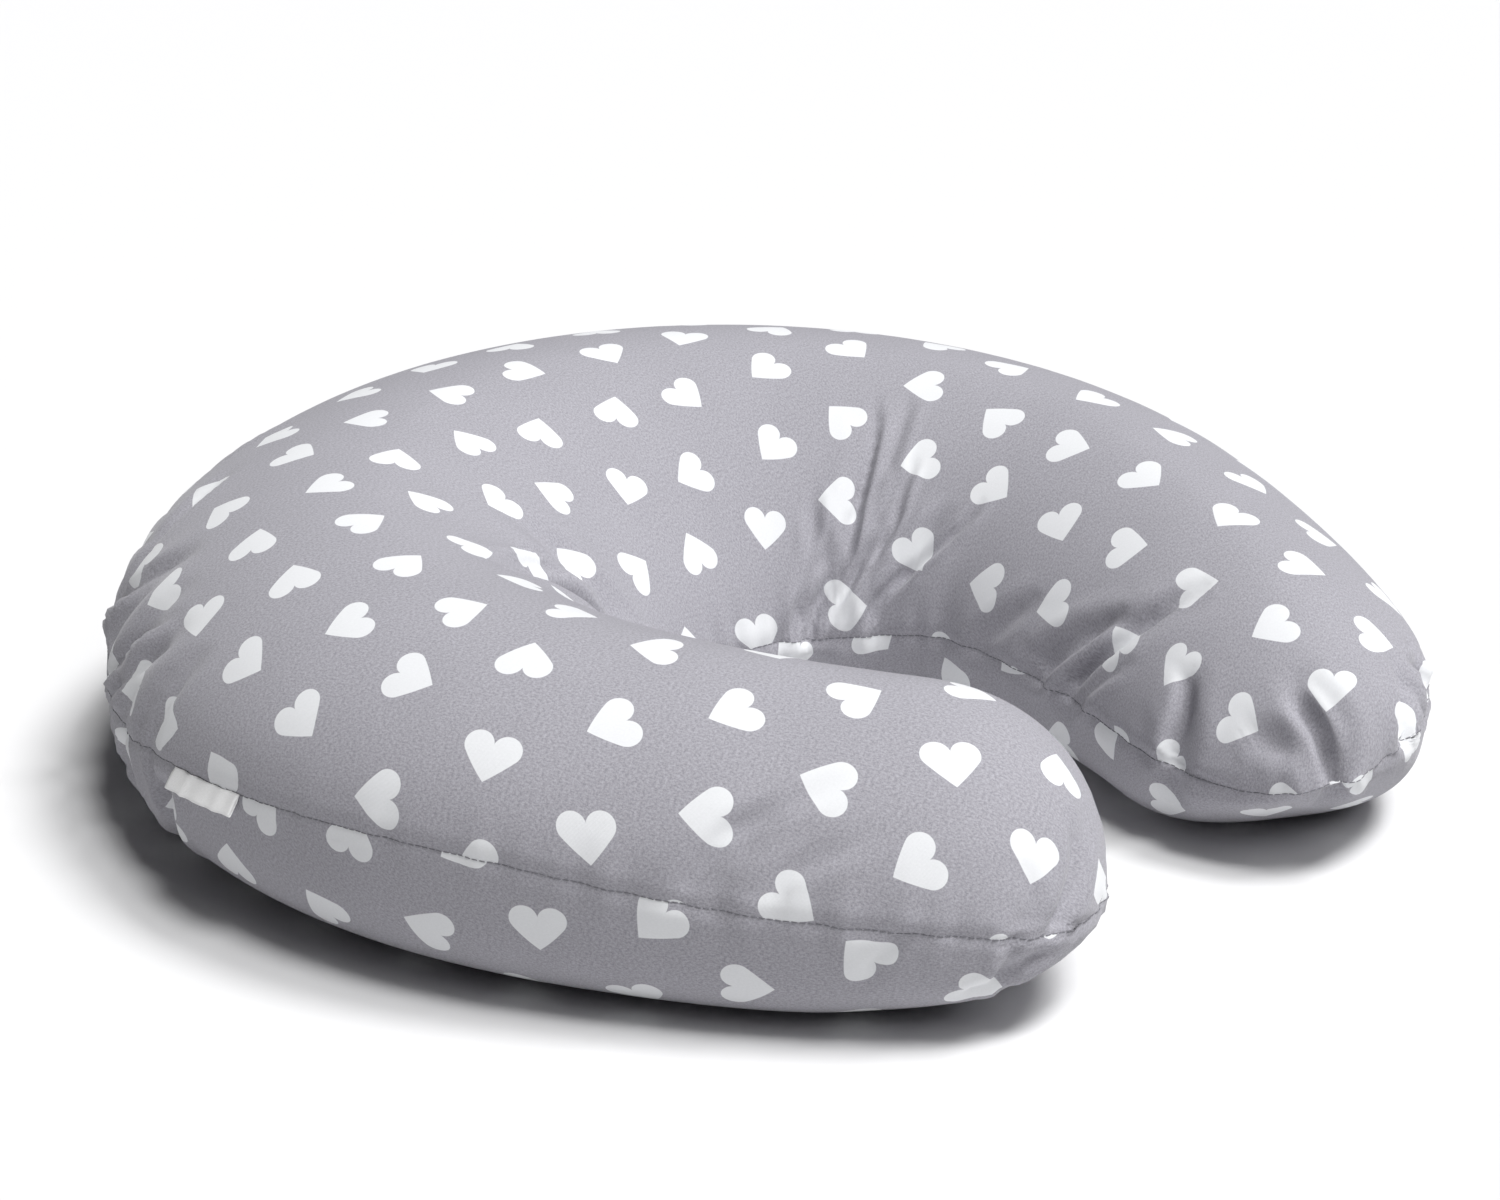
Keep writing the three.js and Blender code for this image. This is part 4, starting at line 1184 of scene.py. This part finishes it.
def ribbon_loop(seam_point, downward, outward):
    """The cross-section of a folded ribbon, from the seam down to its fold and back up."""
    levels = np.linspace(0, 1, 9)
    front, back = [[seam_point + downward * LABEL_DROP * t + outward * gap * min(1, 3 * t) for t in levels]
                   for gap in (RIBBON_GAP, -RIBBON_GAP)]
    fold = [seam_point + downward * (LABEL_DROP + RIBBON_GAP * math.sin(turn))
            + outward * RIBBON_GAP * math.cos(turn) for turn in (0.6, math.pi / 2, math.pi - 0.6)]
    return front + fold + back[::-1]


def side_label():
    """A white ribbon folded in half, caught in the left arm's outer seam and hanging over the lower panel."""
    stations = np.linspace(SIDE_LABEL_START, SIDE_LABEL_END, LABEL_ROWS) * CENTRELINE_RADIUS
    on_left = cover.side < 0
    seam_stations = cover.station[on_left, -1][::-1]
    seam_places = cover_points[cover.number[1][on_left, -1]][::-1]
    points, uv = [], []
    for k, station in enumerate(stations):
        seam_point = np.array([np.interp(station, seam_stations, seam_places[:, axis]) for axis in range(3)])
        outward = unit(surface(-1, station, 0.0) - surface(-1, station, 0.0, 10 * MM))
        lean = LABEL_LEAN + 0.05 * math.sin(5.2 * k / LABEL_ROWS) + 0.10 * (k / LABEL_ROWS)
        downward = unit(np.array([0, 0, -1.0]) + outward * lean)
        away = unit(np.cross(np.cross(downward, outward), downward))
        loop = ribbon_loop(seam_point + outward * 0.3 * MM, downward, away)
        points.append(loop)
        uv.append([(station * RIM_RADIUS / CENTRELINE_RADIUS, distance) for distance in lengths_along(loop)])
    piece = grid_piece("side_label", np.array(points), np.array(uv), label_ribbon)
    thicken(piece, RIBBON_THICKNESS, 0.0)
    declare(piece, ["side_label"], "left_half")


# ---------------------------------------------------------------- zip

TAPE_INSET = 1.8 * MM
TAPE_HEIGHTS = np.array([0.7, 1.8, 3.0, 4.0, 5.5, 7.5, 10.0, 12.5]) * MM
TAPE_THICKNESS = 0.5 * MM
TAPE_MARGIN = 0.012  # radians from the slot's ends, as is the next
TOPSTITCH_MARGIN = 0.02
TOPSTITCH_HEIGHT = 9.5 * MM
METAL_ROUNDING = {"zip_top_stop_upper": 0.2 * MM, "zip_top_stop_lower": 0.2 * MM, "zip_bottom_stop": 0.2 * MM,
                  "zip_slider": 0.25 * MM, "zip_pull_tab": 0.22 * MM}
CARE_LABEL_WIDTH = 17 * MM
CARE_LABEL_DROP = 22 * MM
CARE_LABEL_INSET = 2.3 * MM


def rim_profile(angle, face, inset=0.0):
    """The cushion's outline from the outer seam upward, or downward where face is -1."""
    return surface(1, float(station_at_rim(angle)), np.radians(np.linspace(0, 60, 121)) * face, inset)


def beside_slot(angle, heights, face, inset):
    """Points under the open cover's edge at heights above the seam, or below it where face is -1."""
    profile = rim_profile(angle, face)
    lift = SLOT_HALF * np.clip(1 - lengths_along(profile) / SLOT_REACH, 0, 1)
    rises = (profile[:, 2] - profile[0, 2]) * face + lift
    radii = np.linalg.norm(profile[:, :2] - RIM_CENTRE[:2], axis=1)
    outward = np.interp(heights, rises, radii) - RIM_RADIUS - inset
    return rim_point(np.full(len(heights), angle), outward, face * heights)


def rim_uv(angles, heights):
    return np.stack(np.broadcast_arrays(angles[:, None] * RIM_RADIUS, heights[None, :]), -1)


def zip_tape(name, face):
    angles = np.linspace(ZIP_START + TAPE_MARGIN, ZIP_END - TAPE_MARGIN, 150)
    points = np.array([beside_slot(angle, TAPE_HEIGHTS, face, TAPE_INSET) for angle in angles])
    piece = grid_piece(name, points, rim_uv(angles, TAPE_HEIGHTS), zip_tape_fabric)
    thicken(piece, TAPE_THICKNESS, 0.0)
    declare(piece, [name], "right_half")


COIL_MIDDLE = 1.6 * MM
COIL_HALF_HEIGHT = 0.85 * MM
COIL_OUTWARD = -0.45 * MM
COIL_HALF_DEPTH = 0.5 * MM
FILAMENT_RADIUS = 0.25 * MM
POINTS_PER_TURN = 12
TURN_SHARE = 0.995  # of the teeth's pitch


def zip_coil(name, face):
    """One nylon filament wound in flattened turns, a turn for each tooth."""
    turns = (COIL_END - COIL_START) * RIM_RADIUS / TEETH_PITCH
    turn = np.linspace(0, 2 * math.pi * turns, int(turns * POINTS_PER_TURN))
    start = 0.5 * TEETH_PITCH * (face < 0)
    angle = COIL_START + (turn / (2 * math.pi) * TEETH_PITCH * TURN_SHARE + start) / RIM_RADIUS
    heights = COIL_MIDDLE - COIL_HALF_HEIGHT * np.cos(turn)
    path = rim_point(angle, COIL_OUTWARD + COIL_HALF_DEPTH * np.sin(turn), face * heights)
    directions = unit(np.gradient(path, axis=0))
    ups = unit(np.cross(directions, np.tile([0.0, 0.0, 1.0], (len(path), 1)) + directions[:, ::-1] * 0.01))
    others = np.cross(directions, ups)
    sides = np.linspace(0, 2 * math.pi, THREAD_SIDES, endpoint=False)
    rings = [path + FILAMENT_RADIUS * (math.cos(a) * ups + math.sin(a) * others) for a in sides]
    points = np.concatenate([np.stack(rings, 1).reshape(-1, 3), path[:1], path[-1:]])
    piece = make_piece(name, points, tube_faces(len(path), THREAD_SIDES), zip_nylon)
    declare(piece, [name], "right_half")


def topstitch():
    """The row of stitches that holds the cover's folded edge to each zip tape."""
    angles = np.arange(ZIP_START + TOPSTITCH_MARGIN, ZIP_END - TOPSTITCH_MARGIN, STITCH_PITCH / RIM_RADIUS)
    centres, ups = [], []
    for face in (1, -1):
        for angle in angles:
            pair = beside_slot(angle, np.array([TOPSTITCH_HEIGHT, TOPSTITCH_HEIGHT + MM]), face, 0.0)
            slope = unit(pair[1] - pair[0])
            ahead = np.array([math.cos(angle), -math.sin(angle), 0.0])
            centres.append(pair[0])
            ups.append(unit(np.cross(slope, ahead)))
    angles = np.tile(angles, 2)
    directions = np.stack([np.cos(angles), -np.sin(angles), 0 * angles], -1)
    stitches = capsules(np.array(centres), directions, np.array(ups), STITCH_LENGTH, STITCH_RADIUS)
    declare(make_piece("zip_topstitch", *stitches, cover_thread), body="right_half")


def rounded_metal(name, width):
    """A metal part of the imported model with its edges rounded."""
    part = frame["nodes"][name]
    part.data.materials.clear()
    part.data.materials.append(zip_nickel)
    modifier = part.modifiers.new("Rounding", "BEVEL")
    modifier.width = width
    modifier.segments = 3


def care_label():
    """A blank folded ribbon sewn into the seam inside the cover."""
    half = CARE_LABEL_WIDTH / 2 / RIM_RADIUS
    angles = np.linspace(CARE_LABEL_ANGLE - half, CARE_LABEL_ANGLE + half, 12)
    heights = np.linspace(1 * MM, CARE_LABEL_DROP, 12)
    points = []
    for angle in angles:
        profile = rim_profile(angle, -1, CARE_LABEL_INSET)
        fall = profile[0, 2] - profile[:, 2]
        points.append(np.stack([np.interp(heights, fall, profile[:, axis]) for axis in range(3)], -1))
    piece = grid_piece("care_label", np.array(points), rim_uv(angles, heights), label_ribbon, flipped=True)
    thicken(piece, 2 * RIBBON_THICKNESS, 0.0)
    declare(piece, ["care_label"], "right_half")


side_label()
zip_tape("zip_tape_upper", 1)
zip_tape("zip_tape_lower", -1)
zip_coil("zip_coil_upper", 1)
zip_coil("zip_coil_lower", -1)
topstitch()
for node, rounding in METAL_ROUNDING.items():
    rounded_metal(node, rounding)
care_label()


# ---------------------------------------------------------------- casing and filling

CASING_INSET = 4.2 * MM
FILLING_INSET = 6.0 * MM
CASING_THICKNESS = 0.4 * MM
CASING_OPENING = (math.radians(24), math.radians(54))
CASING_STEP = 4  # rows and columns of the cover to one of the casing
FILLING_STEP = 6
FOLD_NEIGHBOURS = 5  # rows and columns beside a fold that stay as deep as it is
LUMP_DEPTH = 0.9 * MM
HAND_STITCH = dict(pitch=4 * MM, length=5 * MM, radius=0.35 * MM, slant=1.2)


def neighbours(values):
    """Copies of the grid, shifted by every number of rows and columns up to FOLD_NEIGHBOURS."""
    padded = np.pad(values, FOLD_NEIGHBOURS, mode="edge")
    rows, columns = values.shape
    span = range(2 * FOLD_NEIGHBOURS + 1)
    return [padded[i:i + rows, j:j + columns] for i in span for j in span]


def under_cover(inset, step):
    """A coarser grid inside each panel, deeper where the cover has a fold, and its places on flat cloth."""
    normals = normals_of(cover.points, cover.faces)
    sunk = np.minimum(((cover_points - cover.points) * normals).sum(1), 0)
    rows, columns = [np.unique(np.append(np.arange(0, count, step), count - 1))
                     for count in (cover.rows, cover.columns)]
    grids = {}
    for face in (1, -1):
        numbers = cover.number[face]
        lowest = np.min(neighbours(sunk[numbers]), axis=0)
        depth = inset - np.mean(neighbours(lowest), axis=0)
        points = cover.points[numbers] - normals[numbers] * depth[..., None]
        points[..., 2] = np.maximum(points[..., 2], inset)
        grids[face] = points[np.ix_(rows, columns)]
    edge = border(grids[1].shape[:2])
    grids[1][edge] = grids[-1][edge] = (grids[1][edge] + grids[-1][edge]) / 2
    return grids, {face: cover.flat[face][np.ix_(rows, columns)] for face in (1, -1)}


casing_grids, casing_flat = under_cover(CASING_INSET, CASING_STEP)


def casing_panel(name, face):
    piece = grid_piece(name, casing_grids[face], casing_flat[face], casing_fabric, flipped=face < 0)
    bend_at_back(piece)
    smooth_over(piece)
    thicken(piece, CASING_THICKNESS)
    declare(piece, halves(name))


def closing_stitches():
    """Slanting hand stitches over the opening that the filling went in through."""
    edge = casing_grids[1][:, -1]
    turn = -rim_angle(edge)
    part = (turn > CASING_OPENING[0]) & (turn < CASING_OPENING[1])
    even, directions = resample(edge[part], HAND_STITCH["pitch"])
    outward = unit(even - RIM_CENTRE)
    slanting = unit(directions + np.array([0, 0, HAND_STITCH["slant"]]))
    stitches = capsules(even + outward * THREAD_RISE, slanting, outward,
                        HAND_STITCH["length"], HAND_STITCH["radius"])
    name = "casing_closing_thread"
    declare(make_piece(name, *stitches, casing_thread), [name], "left_half")


def filling():
    """Loose fibre: a lumpy closed body inside the casing."""
    grids, _ = under_cover(FILLING_INSET, FILLING_STEP)
    number, count, faces = closed_grid(*grids[1].shape[:2])
    points = np.zeros((count, 3))
    for face in (-1, 1):
        points[number[face]] = grids[face]
    lumps = np.sin(points[:, 0] / 0.011 + 2 * np.sin(points[:, 1] / 0.023)) * np.sin(points[:, 1] / 0.013)
    points -= normals_of(points, faces) * (LUMP_DEPTH * (1 + lumps))[:, None]
    piece = make_piece("filling", points, faces, filling_fibre)
    bend_at_back(piece)
    smooth_over(piece)
    declare(piece, halves("filling"))


casing_panel("casing_top_panel", 1)
casing_panel("casing_bottom_panel", -1)
closing_stitches()
filling()


# ---------------------------------------------------------------- floor, light and camera

FLOOR_HALF = 6.0
FLOOR_COLOR = (0.76, 0.76, 0.765, 1)
WHITE_LIGHT = (1, 1, 1, 1)
AMBIENT = 0.02
CAMERA_AZIMUTH = math.radians(-48.5)
CAMERA_ELEVATION = math.radians(21.3)
CAMERA_DISTANCE = 1.615
CAMERA_TARGET = Vector((0.0006, -0.0026, 0.0783))
CAMERA_LENS = 80.0


def floor():
    shader = Shader("floor", roughness=0.9, specular=0.1)
    shader.color(FLOOR_COLOR)
    corners = [(x * FLOOR_HALF, y * FLOOR_HALF, 0) for x, y in ((-1, -1), (1, -1), (1, 1), (-1, 1))]
    make_piece("floor", corners, [[0, 1, 2, 3]], shader.material)


def sun(name, toward, strength, softness):
    """A wide, soft lamp in the direction given."""
    light = bpy.data.lights.new(name, "SUN")
    light.energy = strength
    light.angle = softness
    lamp = bpy.data.objects.new(name, light)
    lamp.rotation_euler = Vector(toward).to_track_quat("Z", "Y").to_euler()
    bpy.context.scene.collection.objects.link(lamp)


def world():
    """Even light from all round, over a white background."""
    made = bpy.data.worlds.new("studio")
    bpy.context.scene.world = made
    made.use_nodes = True
    tree = made.node_tree
    lit = tree.nodes["Background"]
    seen = tree.nodes.new("ShaderNodeBackground")
    for background, strength in ((lit, AMBIENT), (seen, 1.0)):
        background.inputs["Color"].default_value = WHITE_LIGHT
        background.inputs["Strength"].default_value = strength
    rays = tree.nodes.new("ShaderNodeLightPath")
    mixed = tree.nodes.new("ShaderNodeMixShader")
    tree.links.new(rays.outputs["Is Camera Ray"], mixed.inputs[0])
    tree.links.new(lit.outputs[0], mixed.inputs[1])
    tree.links.new(seen.outputs[0], mixed.inputs[2])
    tree.links.new(mixed.outputs[0], tree.nodes["World Output"].inputs["Surface"])


def camera():
    back = Vector((math.sin(CAMERA_AZIMUTH) * math.cos(CAMERA_ELEVATION),
                   -math.cos(CAMERA_AZIMUTH) * math.cos(CAMERA_ELEVATION), math.sin(CAMERA_ELEVATION)))
    data = bpy.data.cameras.new("camera")
    data.lens = CAMERA_LENS
    data.sensor_width = 36.0
    made = bpy.data.objects.new("camera", data)
    made.location = CAMERA_TARGET + back * CAMERA_DISTANCE
    made.rotation_euler = (-back).to_track_quat("-Z", "Y").to_euler()
    bpy.context.scene.collection.objects.link(made)
    bpy.context.scene.camera = made


floor()
world()
sun("key", (0.31, -0.35, 0.885), 2.3, math.radians(18))
sun("overhead", (-0.02, -0.34, 0.94), 1.9, math.radians(18))
sun("front", (-0.04, -0.64, 0.77), 0.4, math.radians(30))
camera()
bpy.context.scene.view_settings.view_transform = "Standard"
